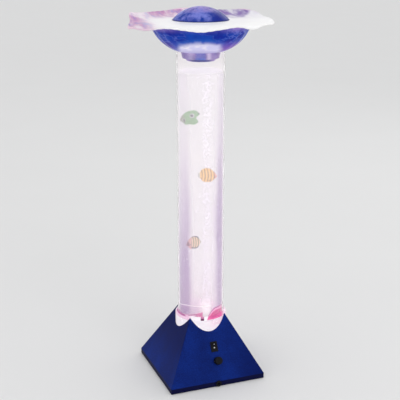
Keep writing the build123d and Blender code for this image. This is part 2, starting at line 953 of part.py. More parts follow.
def lead_pump():
    start = Vector(-pump_length / 2, pump_y, outlet_height + mount_height)
    end = Vector(driver_x, driver_length / 2, driver_top + plug_height / 2)
    return lead("lead_pump", start, pump_route, end, (0, long_run, 0))


# Fish

def fish_spot(name):
    """Where a fish rests: its length runs across the photograph's view."""
    across, near = fish_places[name]
    height = plug_top + swim_height_shares[name] * (water_level - plug_top)
    return Rot(0, 0, view_angle) * Pos(across, -near, height)


def mirrored_fin(shares, middle, length, height):
    """A flat fin whose upper outline is given and whose lower one mirrors it."""
    upper = [(x * length, z * height) for x, z in shares]
    lower = [(x, -z) for x, z in reversed(upper)]
    outline = Polyline(*upper, middle, *lower, close=True)
    return extrude(make_face(Plane.XZ * outline), fish_fin / 2, both=True)


def fish(name):
    """Swelling body with flat fins and a forked tail. The nose points to -X."""
    length, height, thickness = fish_sizes[name]
    nose, tail_root = (-nose_share * length, 0), (tail_root_share * length, 0)
    belly_x, belly = -belly_place_share * length, belly_share * height
    outline = ThreePointArc(nose, (belly_x, belly), tail_root)
    outline += ThreePointArc(tail_root, (belly_x, -belly), nose)
    side = make_face(Plane.XZ * outline)
    body = extrude(side, thickness / 2, taper=body_taper_angle)
    body += extrude(side, -thickness / 2, taper=body_taper_angle)
    flat = mirrored_fin(fin_shares, tail_root, length, height)
    flat += mirrored_fin(tail_shares, (tail_fork_share * length, 0), length, height)
    return fish_spot(name) * Rot(0, 0, fish_turns[name]) * (body + flat)


# Glass on top

def bowl_outline(inset):
    """Half outline of the bowl with its stepped foot, drawn in by a wall."""
    foot = Polyline(
        (0, foot_bottom + inset), (foot_tip_radius - inset, foot_bottom + inset),
        (foot_step_radius - inset, foot_step + inset),
        (foot_shoulder_radius - inset, foot_step + inset),
        (foot_root_radius - inset, tube_top + inset), (tube_radius - inset / 2, tube_top + inset),
    )
    wall = belly_wall_share * inset
    belly = ThreePointArc(
        (tube_radius - inset / 2, tube_top + inset),
        (bowl_belly_radius - wall, bowl_belly_height + wall),
        (bowl_rim_radius - inset, bowl_rim_height),
    )
    top = Polyline((bowl_rim_radius - inset, bowl_rim_height), (0, bowl_rim_height),
                   (0, foot_bottom + inset))
    return revolve(make_face(Plane.XZ * (foot + belly + top)), Axis.Z)


def glass_bowl():
    return bowl_outline(0) - bowl_outline(glass)


def ruffle_ring(share, lift):
    """One closed ring of the wavy brim, from the bowl's rim at 0 to the edge at 1."""
    points = []
    for angle, rise, reach in ruffle_shares:
        turn = radians(angle + view_angle)
        radius = bowl_rim_radius + share * (dish_radius - bowl_rim_radius + reach * ruffle_reach)
        height = dish_bottom + lift + share ** 2 * rise * ruffle_rise
        points.append((radius * cos(turn), radius * sin(turn), height))
    return Wire([Spline(*points, periodic=True)])


def ruffled_dish():
    """Flat middle with a hole, and a brim that waves more towards its edge."""
    rings = [ruffle_ring(share, 0) for share in ring_shares]
    rings += [ruffle_ring(share, glass) for share in reversed(ring_shares)]
    dish = Solid.make_loft(rings, ruled=True)
    bowl_inside = bowl_rim_radius - glass - 2 * fit_clearance
    ring_outside = bowl_inside - glass / 2
    ring = disc(ring_outside, dish_bottom - dish_ring_height, dish_bottom + glass / 2)
    ring -= disc(ring_outside - glass, 0, 2 * dish_top)
    return dish + ring - disc(dish_hole_radius, 0, 2 * dish_top)


def dome_cap(radius, top, base):
    """The part of a ball above the base that has this radius there."""
    height = top - base
    ball = (radius ** 2 + height ** 2) / (2 * height)
    arc = ThreePointArc(
        (0, top), (ball * sin(atan2(radius, ball - height) / 2),
                   top - ball + ball * cos(atan2(radius, ball - height) / 2)), (radius, base)
    )
    rest = Polyline((radius, base), (0, base), (0, top))
    return revolve(make_face(Plane.XZ * (arc + rest)), Axis.Z)


def glass_dome():
    """Hollow cap with a short ring that drops into the dish's hole."""
    dome = dome_cap(dome_radius, dome_top, dish_top)
    dome -= dome_cap(dome_radius - dome_lip, dome_top - dome_wall, dish_top)
    outside = dish_hole_radius - 2 * fit_clearance
    ring = disc(outside, dish_top - dome_spigot_height, dome_top)
    ring -= disc(outside - dome_wall, 0, 2 * dome_top)
    ring &= dome_cap(dome_radius - dome_wall / 2, dome_top - dome_wall / 2,
                     dish_top - dome_spigot_height)
    return dome + ring


makers = [
    base_shell, bottom_plate, rubber_feet, bottom_screws,
    tube, tube_socket, socket_screws, tube_plug, plug_seal, tube_collar, water,
    air_nozzle, nozzle_nut, air_stone, hose_upper, hose_lower, check_valve,
    led_board, leds, led_screws,
    pump_case, pump_base, pump_mounts, pump_core, pump_winding, pump_pivot,
    pump_arm, pump_magnet, pump_bellows, pump_valve_block,
    switch_housing, switch_rocker, switch_terminals,
    dimmer_body, dimmer_nut, dimmer_shaft, knob, power_inlet, inlet_nut,
    driver_board, driver_parts, driver_screws,
    lead_inlet, lead_switch, lead_dimmer, lead_lamp, lead_pump,
    glass_bowl, ruffled_dish, glass_dome,
]

os.makedirs("parts", exist_ok=True)
for maker in makers:
    export_step(maker(), f"parts/{maker.__name__}.step")
for fish_name in fish_sizes:
    export_step(fish(fish_name), f"parts/{fish_name}.step")
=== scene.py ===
import math
import random

import bmesh
import bpy
import mathutils
import numpy as np
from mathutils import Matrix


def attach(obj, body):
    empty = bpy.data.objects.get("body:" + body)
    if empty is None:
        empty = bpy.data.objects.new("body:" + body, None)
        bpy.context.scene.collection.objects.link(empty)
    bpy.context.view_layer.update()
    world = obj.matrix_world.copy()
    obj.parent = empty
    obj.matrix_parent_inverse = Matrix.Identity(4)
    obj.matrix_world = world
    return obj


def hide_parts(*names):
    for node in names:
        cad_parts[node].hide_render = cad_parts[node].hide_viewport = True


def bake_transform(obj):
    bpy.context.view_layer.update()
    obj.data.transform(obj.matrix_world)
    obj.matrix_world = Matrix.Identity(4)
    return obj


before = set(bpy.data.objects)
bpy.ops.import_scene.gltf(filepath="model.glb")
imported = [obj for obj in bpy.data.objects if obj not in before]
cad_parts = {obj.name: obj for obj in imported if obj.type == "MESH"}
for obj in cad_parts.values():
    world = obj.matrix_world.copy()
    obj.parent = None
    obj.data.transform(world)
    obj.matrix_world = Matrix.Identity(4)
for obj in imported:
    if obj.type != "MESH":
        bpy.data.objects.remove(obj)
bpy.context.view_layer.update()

# Camera. The lamp is seen from a little left of its front and from above the middle of
# its tube, by a long lens that looks down at it.
camera_distance = 1.811756
camera_height = 0.930355
camera_turn = math.radians(-20.999)
camera_pitch = math.radians(16.661)
lens_pixels = 887.212
frame_pixels = 400
axis_pixel = 200.731
film_width = 36

camera = bpy.data.objects.new("camera", bpy.data.cameras.new("camera"))
bpy.context.collection.objects.link(camera)
camera.location = (
    math.sin(camera_turn) * camera_distance, -math.cos(camera_turn) * camera_distance, camera_height
)
camera.rotation_euler = (math.pi / 2 - camera_pitch, 0, camera_turn)
camera.data.sensor_fit = "HORIZONTAL"
camera.data.sensor_width = film_width
camera.data.lens = lens_pixels / frame_pixels * film_width
camera.data.shift_x = (frame_pixels / 2 - axis_pixel) / frame_pixels
bpy.context.scene.camera = camera


# Bottom plate, feet and plate screws. The plate is moulded black plastic with posts for
# what stands on it; four rubber feet are stuck under its corners, and four zinc-plated
# screws pull it up into the shell.
mm = 0.001
to_mm = (1 / mm, 1 / mm, 1 / mm)
shown_side = math.radians(-21)


class Wire:
    """A socket that can stand in a sum: each operator adds its Math node."""

    def __init__(self, tree, socket=None):
        self.tree = tree
        self.socket = socket

    def add(self, kind, settings=None, sockets=None, output=0):
        """Adds any node: its settings are set first, then its sockets' values or links."""
        node = self.tree.nodes.new(kind)
        for name, value in (settings or {}).items():
            setattr(node, name, value)
        for key, value in (sockets or {}).items():
            if isinstance(value, Wire):
                self.tree.links.new(value.socket, node.inputs[key])
            else:
                node.inputs[key].default_value = value
        return Wire(self.tree, node.outputs[output])

    def work(self, operation, *values):
        return self.add("ShaderNodeMath", {"operation": operation}, dict(enumerate(values)))

    def __add__(self, other):
        return self.work("ADD", self, other)

    def __sub__(self, other):
        return self.work("SUBTRACT", self, other)

    def __rsub__(self, other):
        return self.work("SUBTRACT", other, self)

    def __mul__(self, other):
        return self.work("MULTIPLY", self, other)

    def __truediv__(self, other):
        return self.work("DIVIDE", self, other)

    def __pow__(self, other):
        return self.work("POWER", self, other)

    __radd__ = __add__
    __rmul__ = __mul__

    def step(self, low, high):
        """0 below low, 1 above high, and smooth between them; high may be under low."""
        return self.add("ShaderNodeMapRange", {"interpolation_type": "SMOOTHSTEP"},
                        {"Value": self, "From Min": low, "From Max": high})

    def apart(self, low, high):
        """A step over how far this is from zero, on either side, smooth in its square."""
        return (self * self).step(low ** 2, high ** 2)

    def near(self, middle, far, close):
        """0 where this is further than far from a middle, and 1 where it is within close."""
        gap = self - middle
        return gap.work("ABSOLUTE", gap).step(far, close)

    def larger(self, other):
        return self.work("MAXIMUM", self, other)

    def waves(self):
        """Waves between 0 and 1, with this as their angle."""
        return self.work("SINE", self) * 0.5 + 0.5

    def tint(self, first, second):
        """The first colour where this is 0 and the second where it is 1."""
        sides = [c if isinstance(c, Wire) else (*c, 1) for c in (first, second)]
        return self.add("ShaderNodeMix", {"data_type": "RGBA"},
                        {0: self, 6: sides[0], 7: sides[1]}, 2)


class Finish:
    """One material: constants go on its shader's own sockets, and what varies is fed."""

    def __init__(self, name, **constants):
        self.material = bpy.data.materials.new(name)
        self.material.use_nodes = True
        self.shader = self.material.node_tree.nodes["Principled BSDF"]
        self.wire = Wire(self.material.node_tree)
        for key, value in constants.items():
            socket = key.replace("_", " ").title().replace("Ior", "IOR")
            self.shader.inputs[socket].default_value = value

    def place(self, stretch=(1, 1, 1), centre=(0, 0, 0), turn=(0, 0, 0)):
        """Object coordinates in metres, less a centre, stretched and turned."""
        spot = self.wire.add("ShaderNodeTexCoord", output="Object")
        spot = self.wire.add("ShaderNodeVectorMath", {"operation": "SUBTRACT"}, {0: spot, 1: centre})
        return self.wire.add("ShaderNodeMapping", None,
                             {"Vector": spot, "Rotation": turn, "Scale": stretch})

    def noise(self, scale, detail=2.0, spot=None):
        """Cloudy noise from 0 to 1, with its scale in patches for each metre."""
        return self.wire.add("ShaderNodeTexNoise", None,
                             {"Vector": spot or self.place(), "Scale": scale, "Detail": detail})

    def parts(self, spot):
        """The three parts of a place, as numbers."""
        split = self.wire.add("ShaderNodeSeparateXYZ", None, {0: spot}).socket.node
        return [Wire(self.wire.tree, part) for part in split.outputs]

    def laid_out(self, centre=(0, 0, 0)):
        """How many mm a spot is across, back and up, on the side where the fish swim in view."""
        return self.parts(self.place(to_mm, centre, (0, 0, -shown_side)))

    def feed(self, socket, value):
        self.wire.tree.links.new(value.socket, self.shader.inputs[socket])

    def paint(self, colour, roughness, glow=None):
        """Feeds the colour, the roughness and what the piece gives off: a lamp's light, or elsewhere
        a painted glow.
        """
        self.feed("Base Color", colour)
        self.feed("Roughness", roughness)
        if glow:
            self.feed("Emission Color", glow)

    def bump(self, height, depth, strength=1.0):
        """Raises the surface by this height, as a share of a depth."""
        self.feed("Normal", self.wire.add(
            "ShaderNodeBump", None, {"Height": height, "Distance": depth, "Strength": strength}))

    def onto(self, *names):
        """Gives this finish to CAD pieces that keep their own shape."""
        for name in names:
            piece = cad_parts[name]
            if piece.data.materials:
                for slot in piece.material_slots:
                    slot.material = self.material
            else:
                piece.data.materials.append(self.material)


def moulded_plastic(name, colour, worn, roughness, grain=900, gloss=0.5):
    """Moulded plastic: a fine spark-etched skin, cloudy gloss and a slightly uneven colour."""
    made = Finish(name, specular_ior_level=gloss)
    cloud = made.noise(38, 3)
    fine = made.noise(grain, 2)
    made.paint((cloud * 0.7 + fine * 0.3).step(0.3, 0.75).tint(colour, worn),
               roughness - 0.06 + 0.16 * made.noise(24, 3))
    made.bump(fine, 0.06 * mm)
    return made


def soft_rubber(name, colour):
    """Dull rubber with a paler dusting on it."""
    made = Finish(name, specular_ior_level=0.35)
    dust = made.noise(160, 4).step(0.45, 0.8)
    made.paint(dust.tint(colour, tuple(c + 0.035 for c in colour)), 0.72 + 0.18 * dust)
    made.bump(made.noise(1400), 0.05 * mm)
    return made


def plated_metal(name, colour, worn, roughness=0.32):
    """Plated or turned metal with faint tool marks and duller patches."""
    made = Finish(name, metallic=1.0)
    marks = made.noise(60, 2, made.place((1, 1, 26)))
    cloud = made.noise(300, 3)
    made.paint(cloud.step(0.4, 0.7).tint(colour, worn),
               roughness - 0.08 + 0.14 * cloud + 0.08 * marks)
    made.bump(marks, 0.02 * mm)
    return made


black_mould = moulded_plastic("moulded_black", (0.028, 0.028, 0.031), (0.045, 0.045, 0.05), 0.5)
black_mould.onto("bottom_plate")
foot_rubber = soft_rubber("foot_rubber", (0.03, 0.03, 0.032))
foot_rubber.onto("rubber_feet")
zinc = plated_metal("zinc_plate", (0.62, 0.62, 0.6), (0.45, 0.45, 0.43))
zinc.onto("bottom_screws")


# Air pump. A black case on rubber mounts holds a laminated core with a copper winding;
# its field shakes a magnet on a steel arm, which works a rubber bellows. The bellows is
# glued to the arm at one end and to the valve block at the other.
bellows_radius = 6 * mm
bellows_length = 6.5 * mm
bellows_folds = 3
fold_depth_share = 0.2
rings_per_fold = 8
bellows_segments = 48
arm_face = (0, 72 * mm, 23 * mm)


def skin(rings, loop=False, work=None):
    """Faces between rings of points; a ring of one point closes an end."""
    work = bmesh.new() if work is None else work
    made = [[work.verts.new(p) for p in ring] for ring in rings]
    for ring, after in zip(made, made[1:] + made[:1] if loop else made[1:]):
        count = max(len(ring), len(after))
        if count == 1:
            continue
        for i in range(count):
            j = (i + 1) % count
            quad = [ring[i % len(ring)], ring[j % len(ring)],
                    after[j % len(after)], after[i % len(after)]]
            work.faces.new(list(dict.fromkeys(quad)))
    bmesh.ops.recalc_face_normals(work, faces=work.faces)
    return work


def ring_at(radius, height, count, wobble=None):
    """A ring of points; wobble gives each angle's share of radius and rise of height."""
    if radius == 0:
        return [(0, 0, height)]
    points = []
    for i in range(count):
        a = 2 * math.pi * i / count
        share, rise = wobble(a, radius, height) if wobble else (1, 0)
        points.append((radius * share * math.cos(a), radius * share * math.sin(a), height + rise))
    return points


def new_object(name, work, finishes, smooth=True):
    """Makes a mesh object of a bmesh and coats it."""
    mesh = bpy.data.meshes.new(name)
    work.to_mesh(mesh)
    work.free()
    for finish in finishes:
        mesh.materials.append(finish.material)
    if smooth:
        mesh.shade_smooth()
    made = bpy.data.objects.new(name, mesh)
    bpy.context.collection.objects.link(made)
    return made


def new_piece(name, work, finishes, body, smooth=True):
    """Makes a piece of the lamp, rides it on a body, if any."""
    piece = new_object(name, work, finishes, smooth)
    if body:
        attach(piece, body)
    return piece


fold_rings = bellows_folds * rings_per_fold
bellows_rings = [ring_at(0, 0, bellows_segments)]
for i in range(fold_rings + 1):
    pinch = fold_depth_share * (0.5 - 0.5 * math.cos(2 * math.pi * i / rings_per_fold))
    bellows_rings.append(ring_at(bellows_radius * (1 - pinch), bellows_length * i / fold_rings,
                                 bellows_segments))
bellows_rings.append(ring_at(0, bellows_length, bellows_segments))
bellows_work = skin(bellows_rings)
bellows_work.transform(mathutils.Matrix.Translation(arm_face)
                       @ mathutils.Matrix.Rotation(math.pi / 2, 4, "X"))
bellows = new_piece("air_bellows", bellows_work, [foot_rubber], None)
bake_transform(bellows)
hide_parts("pump_bellows")
black_mould.onto("pump_base")
pump_skin = moulded_plastic("pump_case_black", (0.02, 0.02, 0.022), (0.05, 0.05, 0.055), 0.62, 500)
pump_skin.onto("pump_case", "pump_valve_block")
foot_rubber.onto("pump_mounts")

laminated = Finish("laminated_steel", metallic=1.0)
sheet_edges = laminated.wire.add(
    "ShaderNodeTexWave", {"bands_direction": "Z", "wave_profile": "SAW"},
    {"Vector": laminated.place(), "Scale": 640, "Distortion": 0.4}, 1)
laminated.paint(sheet_edges.step(0.1, 0.6).tint((0.16, 0.15, 0.15), (0.5, 0.49, 0.48)),
                0.35 + 0.25 * laminated.noise(90, 3))
laminated.bump(sheet_edges, 0.2 * mm)
laminated.onto("pump_core")

winding = Finish("enamelled_copper", metallic=0.85, coat_weight=0.6, coat_roughness=0.15)
turns = winding.wire.add(
    "ShaderNodeTexWave", {"bands_direction": "X"},
    {"Vector": winding.place(), "Scale": 420, "Distortion": 1.2, "Detail": 1}, 1)
winding.paint(turns.tint((0.25, 0.07, 0.025), (0.72, 0.27, 0.1)), 0.3 + 0.15 * turns)
winding.bump(turns, 0.3 * mm)
winding.onto("pump_winding")

zinc.onto("pump_pivot", "pump_arm")
ferrite = Finish("sintered_ferrite", specular_ior_level=0.4)
pores = ferrite.noise(1300, 3)
ferrite.paint(pores.step(0.35, 0.7).tint((0.05, 0.05, 0.055), (0.12, 0.12, 0.125)),
              0.5 + 0.3 * pores)
ferrite.bump(pores, 0.1 * mm)
ferrite.onto("pump_magnet")


# Lamp board. A round green board on three posts under the tube carries twelve lamps,
# which shine up through the clear plug; three small screws hold it.
board_skin = Finish("green_board", specular_ior_level=0.5, coat_weight=0.35, coat_roughness=0.1)
tracks = board_skin.wire.add(
    "ShaderNodeTexVoronoi", {"feature": "DISTANCE_TO_EDGE"},
    {"Vector": board_skin.place(), "Scale": 230}).step(0.04, 0.1)
board_skin.paint(tracks.tint((0.05, 0.2, 0.07), (0.012, 0.09, 0.035)),
                 0.34 + 0.2 * board_skin.noise(2200))
board_skin.bump(1 - tracks, 0.08 * mm)
board_skin.onto("led_board")

lamp_lens = Finish("lamp_lens", transmission_weight=0.5, emission_strength=1.2,
                   coat_weight=0.5, coat_roughness=0.05)
lit = lamp_lens.noise(700)
lamp_lens.paint(lit.tint((0.9, 0.82, 0.95), (1, 0.94, 1)), 0.1 + 0.1 * lit,
                glow=lit.tint((0.95, 0.55, 0.85), (1, 0.9, 1)))
lamp_lens.onto("leds")
zinc.onto("led_screws")


# Tube socket, plug and air line. The black socket ring is screwed to four posts. The
# tube stands in its cup, and a clear plug with a rubber seal closes it. A brass nozzle
# with a nut goes through the plug and carries the air stone.
clear_acrylic = Finish("clear_acrylic", transmission_weight=0.93, ior=1.49, emission_strength=0.2,
                       specular_ior_level=0.35, specular_tint=(0.5, 0.5, 0.5, 1))
haze = clear_acrylic.noise(55, 4)
back, up = clear_acrylic.laid_out()[1:]
# Painted light of the water and the lamps: the tube's colour and glow are pinker low down, the glow
# dims under 150 mm, and over the water line it is dark in front and a bright painted highlight at
# the back.
low_down = up.step(600, 100)
upper_tint = haze.tint((0.985, 0.965, 0.975), (0.995, 0.975, 0.985))
lower_tint = haze.tint((0.975, 0.95, 0.965), (0.985, 0.965, 0.975))
wet_glow = low_down.tint((0.17, 0.163, 0.165), (0.175, 0.146, 0.163))
wet_glow = up.step(165, 150).tint(wet_glow, (0.08, 0.05, 0.065))
front_glow = up.step(672, 688).tint(wet_glow, (0.02, 0.02, 0.02))
rear_glow = up.step(655, 667).tint(wet_glow, (0.54, 0.52, 0.5))
clear_acrylic.paint(low_down.tint(upper_tint, lower_tint), 0.005 * haze.step(0.45, 0.8),
                    glow=back.step(-30, 30).tint(front_glow, rear_glow))
clear_acrylic.onto("tube_plug", "tube")

black_mould.onto("tube_socket")
zinc.onto("socket_screws")
foot_rubber.onto("plug_seal")
brass = plated_metal("plain_brass", (0.78, 0.52, 0.2), (0.55, 0.36, 0.14))
brass.onto("air_nozzle", "nozzle_nut")

porous = Finish("porous_ceramic", specular_ior_level=0.3)
grains = porous.wire.add("ShaderNodeTexVoronoi", None, {"Vector": porous.place(), "Scale": 900})
porous.paint(grains.step(0.1, 0.8).tint((0.18, 0.25, 0.36), (0.5, 0.56, 0.64)),
             0.8 + 0.15 * porous.noise(80))
porous.bump(grains, 0.4 * mm)
porous.onto("air_stone")

silicone = Finish("clear_silicone", transmission_weight=0.6, ior=1.41)
bloom = silicone.noise(240, 3)
silicone.paint(bloom.tint((0.8, 0.83, 0.86), (0.93, 0.95, 0.96)), 0.22 + 0.2 * bloom)
silicone.bump(silicone.noise(1500), 0.03 * mm)
silicone.onto("hose_upper", "hose_lower")
valve_plastic = moulded_plastic("valve_white", (0.72, 0.73, 0.75), (0.82, 0.83, 0.84), 0.4)
valve_plastic.onto("check_valve")


# Driver board and leads. The board stands on four posts at the left and carries a small
# transformer, two capacitors and the sockets of five black leads.
board_skin.onto("driver_board")
zinc.onto("driver_screws")
dark_parts = moulded_plastic("dark_parts", (0.02, 0.022, 0.026), (0.07, 0.075, 0.085), 0.38, 1200)
dark_parts.onto("driver_parts")
sheath = Finish("lead_sheath", specular_ior_level=0.4)
scuff = sheath.noise(900, 3)
sheath.paint(scuff.step(0.4, 0.75).tint((0.018, 0.018, 0.019), (0.05, 0.05, 0.052)),
             0.5 + 0.2 * scuff)
sheath.bump(scuff, 0.05 * mm)
sheath.onto("lead_inlet", "lead_switch", "lead_dimmer", "lead_lamp", "lead_pump")


# Switch, dimmer knob and power inlet, all black, on the front face. The rocker tips in
# its bezel and has a bar and a ring printed in white; the fluted knob is pushed onto the
# dimmer's shaft; the inlet's bezel stands out of the skirt.
base_half = 107
skirt_height = 12
apex_rise = 200
switch_across = 3
switch_rise = 74
rocker_half_length = 8.2
rocker_middle_height = 1.4
rocker_end_rise = 1.4
rocker_tip = math.radians(9)
mark_height = 0.12 * mm
bar_half_width = 0.45 * mm
bar_half_length = 1.1 * mm
bar_core_share = 0.05
bar_place = 5.4 * mm
ring_radii = (0.5 * mm, 1.3 * mm)
ring_place = -2 * mm
ring_segments = 24
face_angle = math.atan2(apex_rise, base_half)
face_up = np.array([0, math.cos(face_angle), math.sin(face_angle)])
face_out = np.array([0, -math.sin(face_angle), math.cos(face_angle)])
switch_middle = np.array([switch_across, -base_half, skirt_height]) * mm + switch_rise * mm * face_up

switch_black = moulded_plastic(
    "switch_black", (0.003, 0.003, 0.005), (0.008, 0.008, 0.012), 0.4, grain=1100, gloss=0.12)
switch_black.onto("switch_housing", "switch_rocker", "power_inlet")
knob_black = moulded_plastic(
    "knob_black", (0.003, 0.003, 0.005), (0.009, 0.009, 0.013), 0.5, grain=700, gloss=0.12)
knob_black.onto("knob")
brass.onto("switch_terminals")
dark_parts.onto("dimmer_body")
zinc.onto("dimmer_nut", "dimmer_shaft", "inlet_nut")


def on_rocker(across, along, height):
    """A point on the dished rocker's face, in its resting tilt."""
    lift = rocker_middle_height * mm + abs(along) * rocker_end_rise / rocker_half_length + height
    up = along * math.cos(rocker_tip) - lift * math.sin(rocker_tip)
    out = along * math.sin(rocker_tip) + lift * math.cos(rocker_tip)
    return switch_middle + np.array([across, 0, 0]) + up * face_up + out * face_out


def printed_mark(work, inner, outer):
    """A raised flat mark between an inner and an outer outline on the rocker."""
    edges = ((inner, 0), (inner, mark_height), (outer, mark_height), (outer, 0))
    skin([[on_rocker(x, y, height) for x, y in outline] for outline, height in edges],
         loop=True, work=work)


def bar_outline(share):
    corners = ((1, -1), (1, 1), (-1, 1), (-1, -1))
    return [(share * x * bar_half_width, bar_place + share * y * bar_half_length)
            for x, y in corners]


def ring_outline(radius):
    angles = [2 * math.pi * i / ring_segments for i in range(ring_segments)]
    return [(radius * math.cos(a), ring_place + radius * math.sin(a)) for a in angles]


white_print = Finish("white_print", specular_ior_level=0.4)
worn_ink = white_print.noise(1600, 3).step(0.3, 0.6)
white_print.paint(worn_ink.tint((0.55, 0.55, 0.55), (0.85, 0.85, 0.84)), 0.5 + 0.2 * worn_ink)

marks = bmesh.new()
printed_mark(marks, bar_outline(bar_core_share), bar_outline(1))
printed_mark(marks, *(ring_outline(radius) for radius in ring_radii))
new_piece("switch_marks", marks, [white_print], "rocker", smooth=False)


# Base shell. A hollow pyramid with a low skirt, moulded in one piece from glossy deep
# blue plastic; a round hole cuts its tip off and leaves four scalloped edges.
def layered(colour, *layers):
    """A colour with others laid over it in turn, each as far as its mask goes."""
    for mask, over in layers:
        colour = mask.tint(colour, over)
    return colour


shell_blue = Finish("shell_blue", specular_ior_level=0.045)
speckle = shell_blue.noise(520, 3)
patches = shell_blue.noise(26, 4)
flow = shell_blue.noise(14, 3, shell_blue.place((1, 1, 0.15)))
side_x, side_y, height = shell_blue.parts(shell_blue.place(to_mm))
# Painted shade: the left face darkens higher up and the right side is darker.
left_face = (side_y - side_x).step(-2, 2)
face_shade = (left_face * height.step(20, 100) * 0.75).larger(side_x.step(20, 100) * 0.6)
cloudy = (speckle * 0.45 + patches * 0.3 + flow * 0.25).step(0.36, 0.66)
# Over the blue go the painted face shade and a near-black painted shade on the skirt.
blue = layered(
    cloudy.tint((0.002, 0.011, 0.11), (0.004, 0.025, 0.22)),
    (face_shade, (0.0005, 0.003, 0.06)),
    (height.step(skirt_height + 0.4, skirt_height - 0.6), (0.004, 0.005, 0.04)))
shell_blue.paint(blue, 0.36 + 0.14 * patches + 0.06 * speckle)
shell_blue.bump(speckle * 0.6 + shell_blue.noise(1500) * 0.4, 0.12 * mm)
shell_blue.onto("base_shell")


# Water. It fills the tube to some 40 mm under its rim, milk-white with fine air. The light
# of the lamps below is painted into its colour, pink where they are near, and its colour
# is also fed as its glow. Its top ripples and climbs the wall a little.
water_radius = 46.7 * mm
water_bottom = 66.1 * mm
water_top = 663.5 * mm
wall_climb = 0.8 * mm
climb_width = 3.5 * mm
ripple = 0.3 * mm
water_segments = 128
bottom_shares = (0.5, 0.98, 1)
wall_shares = (0.01, 0.25, 0.5, 0.75, 0.99)
surface_shares = (1, 0.985, 0.96, 0.92, 0.86, 0.78, 0.68, 0.56, 0.42, 0.28, 0.14)
# Where the colours at the water's foot change, in mm over the floor and right of the axis.
line_height = 163
line_sag = 7.5
right_fold_height = 157
left_fold_height = 148.6
left_fold_slope = 0.303
fold_turn = 30.7
fold_run = 12.2
bright_across = 5
core_across = 11


def water_surface(angle, radius, height):
    """The rise of the water's top: small ripples, and a rim that climbs the tube's wall."""
    x, y = radius * math.cos(angle), radius * math.sin(angle)
    waves = math.sin(190 * x + 60 * y) + math.sin(140 * y - 95 * x + 1) + math.sin(310 * radius)
    return 1, ripple * waves / 3 + wall_climb * math.exp(-(water_radius - radius) / climb_width)


water_rings = [ring_at(0, water_bottom, water_segments)]
water_rings += [ring_at(water_radius * s, water_bottom, water_segments) for s in bottom_shares]
wall_heights = [water_bottom + s * (water_top - water_bottom) for s in wall_shares]
water_rings += [ring_at(water_radius, height, water_segments) for height in wall_heights]
water_rings += [ring_at(water_radius * s, water_top, water_segments, water_surface)
                for s in surface_shares]
water_rings.append([(0, 0, water_top + ripple / 3)])

milky_water = Finish("bubbling_water", ior=1.33, emission_strength=0.47, specular_ior_level=0.3)
across, back, up = milky_water.laid_out()
streams = milky_water.noise(30, 4, milky_water.place((1, 1, 0.3)))
froth = milky_water.noise(420, 3)
behind = back.step(-10, 10)
in_front = back.step(6, -4)

# Painted lilac shade towards both sides of the rising air, more so low down and to the
# right, darker behind the axis, and along the left foot.
depth = (up - 2 * across).step(680, 240)
off_bright = across - bright_across
sides = off_bright * off_bright + (streams - 0.5) * 800 + 350 * depth
sides = sides.step(23 ** 2, 41 ** 2)
lilac_shade = sides * (0.2 + 0.8 * depth) + 0.08 * streams.step(0.45, 0.65)
over_line = up - line_height + line_sag * (across / (water_radius / mm)) ** 4
low_left = over_line.step(0, -1.2) * (1 - behind) + up.step(168, 128) * behind
lilac_shade = lilac_shade.larger(low_left * across.step(2, -12) * 0.5)

# A pale line round the front of the foot, and under it a painted magenta fold of the
# lamps' light, which rises to the right and is fainter on the left.
line = over_line.near(0, 1.4, 0.6) * in_front * across.step(30, 10)
edge_rise = ((fold_turn - across) / fold_run).larger(0) ** 1.7
under_right = right_fold_height - (up + fold_run * edge_rise)
under_left = left_fold_height - (up - left_fold_slope * across)
pink_left = under_left.step(-0.5, 0.5) * across.step(5.8, 3.5)
pink = under_right.step(-0.6, 0.6).larger(pink_left) * in_front
wash = milky_water.noise(150, 3, milky_water.place((0.5, 0.5, 2))).step(0.35, 0.65)
blush = under_left.step(2.2, 3.4) * across.step(-8, -16)
faint = across.step(-16, -4).tint((0.46, 0.14, 0.34), (0.7, 0.2, 0.42))
magenta = layered(
    wash.tint((0.8, 0.05, 0.32), (0.62, 0.03, 0.25)),
    (under_right.step(8.5, 6.2), (0.92, 0.42, 0.68)),
    (under_right.step(3.6, 2.4), (0.46, 0.12, 0.34)),
    (across.step(12, 6), blush.tint(faint, (0.92, 0.66, 0.8))))

# The white core over the air stone, the water line at the top, and a painted halo of
# light over the fold.
core = (across - core_across).apart(13, 4) * up.step(190, 165) * in_front * (1 - pink)
surface = up.step(662.5, 663)
halo = under_left.step(-3.5, -1) * across.step(4, -6) * in_front * (1 - pink)

water_colour = layered(
    lilac_shade.tint((0.96, 0.94, 0.96), behind.tint((0.62, 0.5, 0.78), (0.26, 0.15, 0.34))),
    (line, (1, 0.97, 0.98)),
    (pink, magenta),
    (core, (1, 0.98, 0.98)),
    (surface, (0.94, 0.91, 0.91)),
    (halo, (0.96, 0.72, 0.84)))
milky_water.feed("Alpha", 0.23 + 0.7 * pink + 0.47 * lilac_shade * behind + 0.4 * line + 0.3 * surface
                 + 0.3 * halo + 0.45 * core)
milky_water.paint(water_colour, 0.15 + 0.2 * froth, glow=water_colour)
milky_water.bump(froth, 0.4 * mm, 0.5)
water = new_piece("water_column", skin(water_rings), [milky_water], "stand")
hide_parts("water")


# Bubbles. Air from the stone rises as a loose cloud of small bubbles, a few of them
# large, and keeps clear of the lanes in which the three fish swim.
cloud_count = 700
cloud_rarity = 3.5
plume_count = 1300
plume_rarity = 2.5
plume_middle = (12 * mm, 0)
plume_spread = (8 * mm, 7 * mm)
smallest_bubble = 0.8 * mm
largest_bubble = 3.6 * mm
bubble_room = 45.2 * mm
bubble_bottom = 70 * mm
bubble_top = 660 * mm
# The ball is 1 m wide before each point's own size brings it down.
ball_sizes = {"Radius": 0.5, "Segments": 8, "Rings": 6}
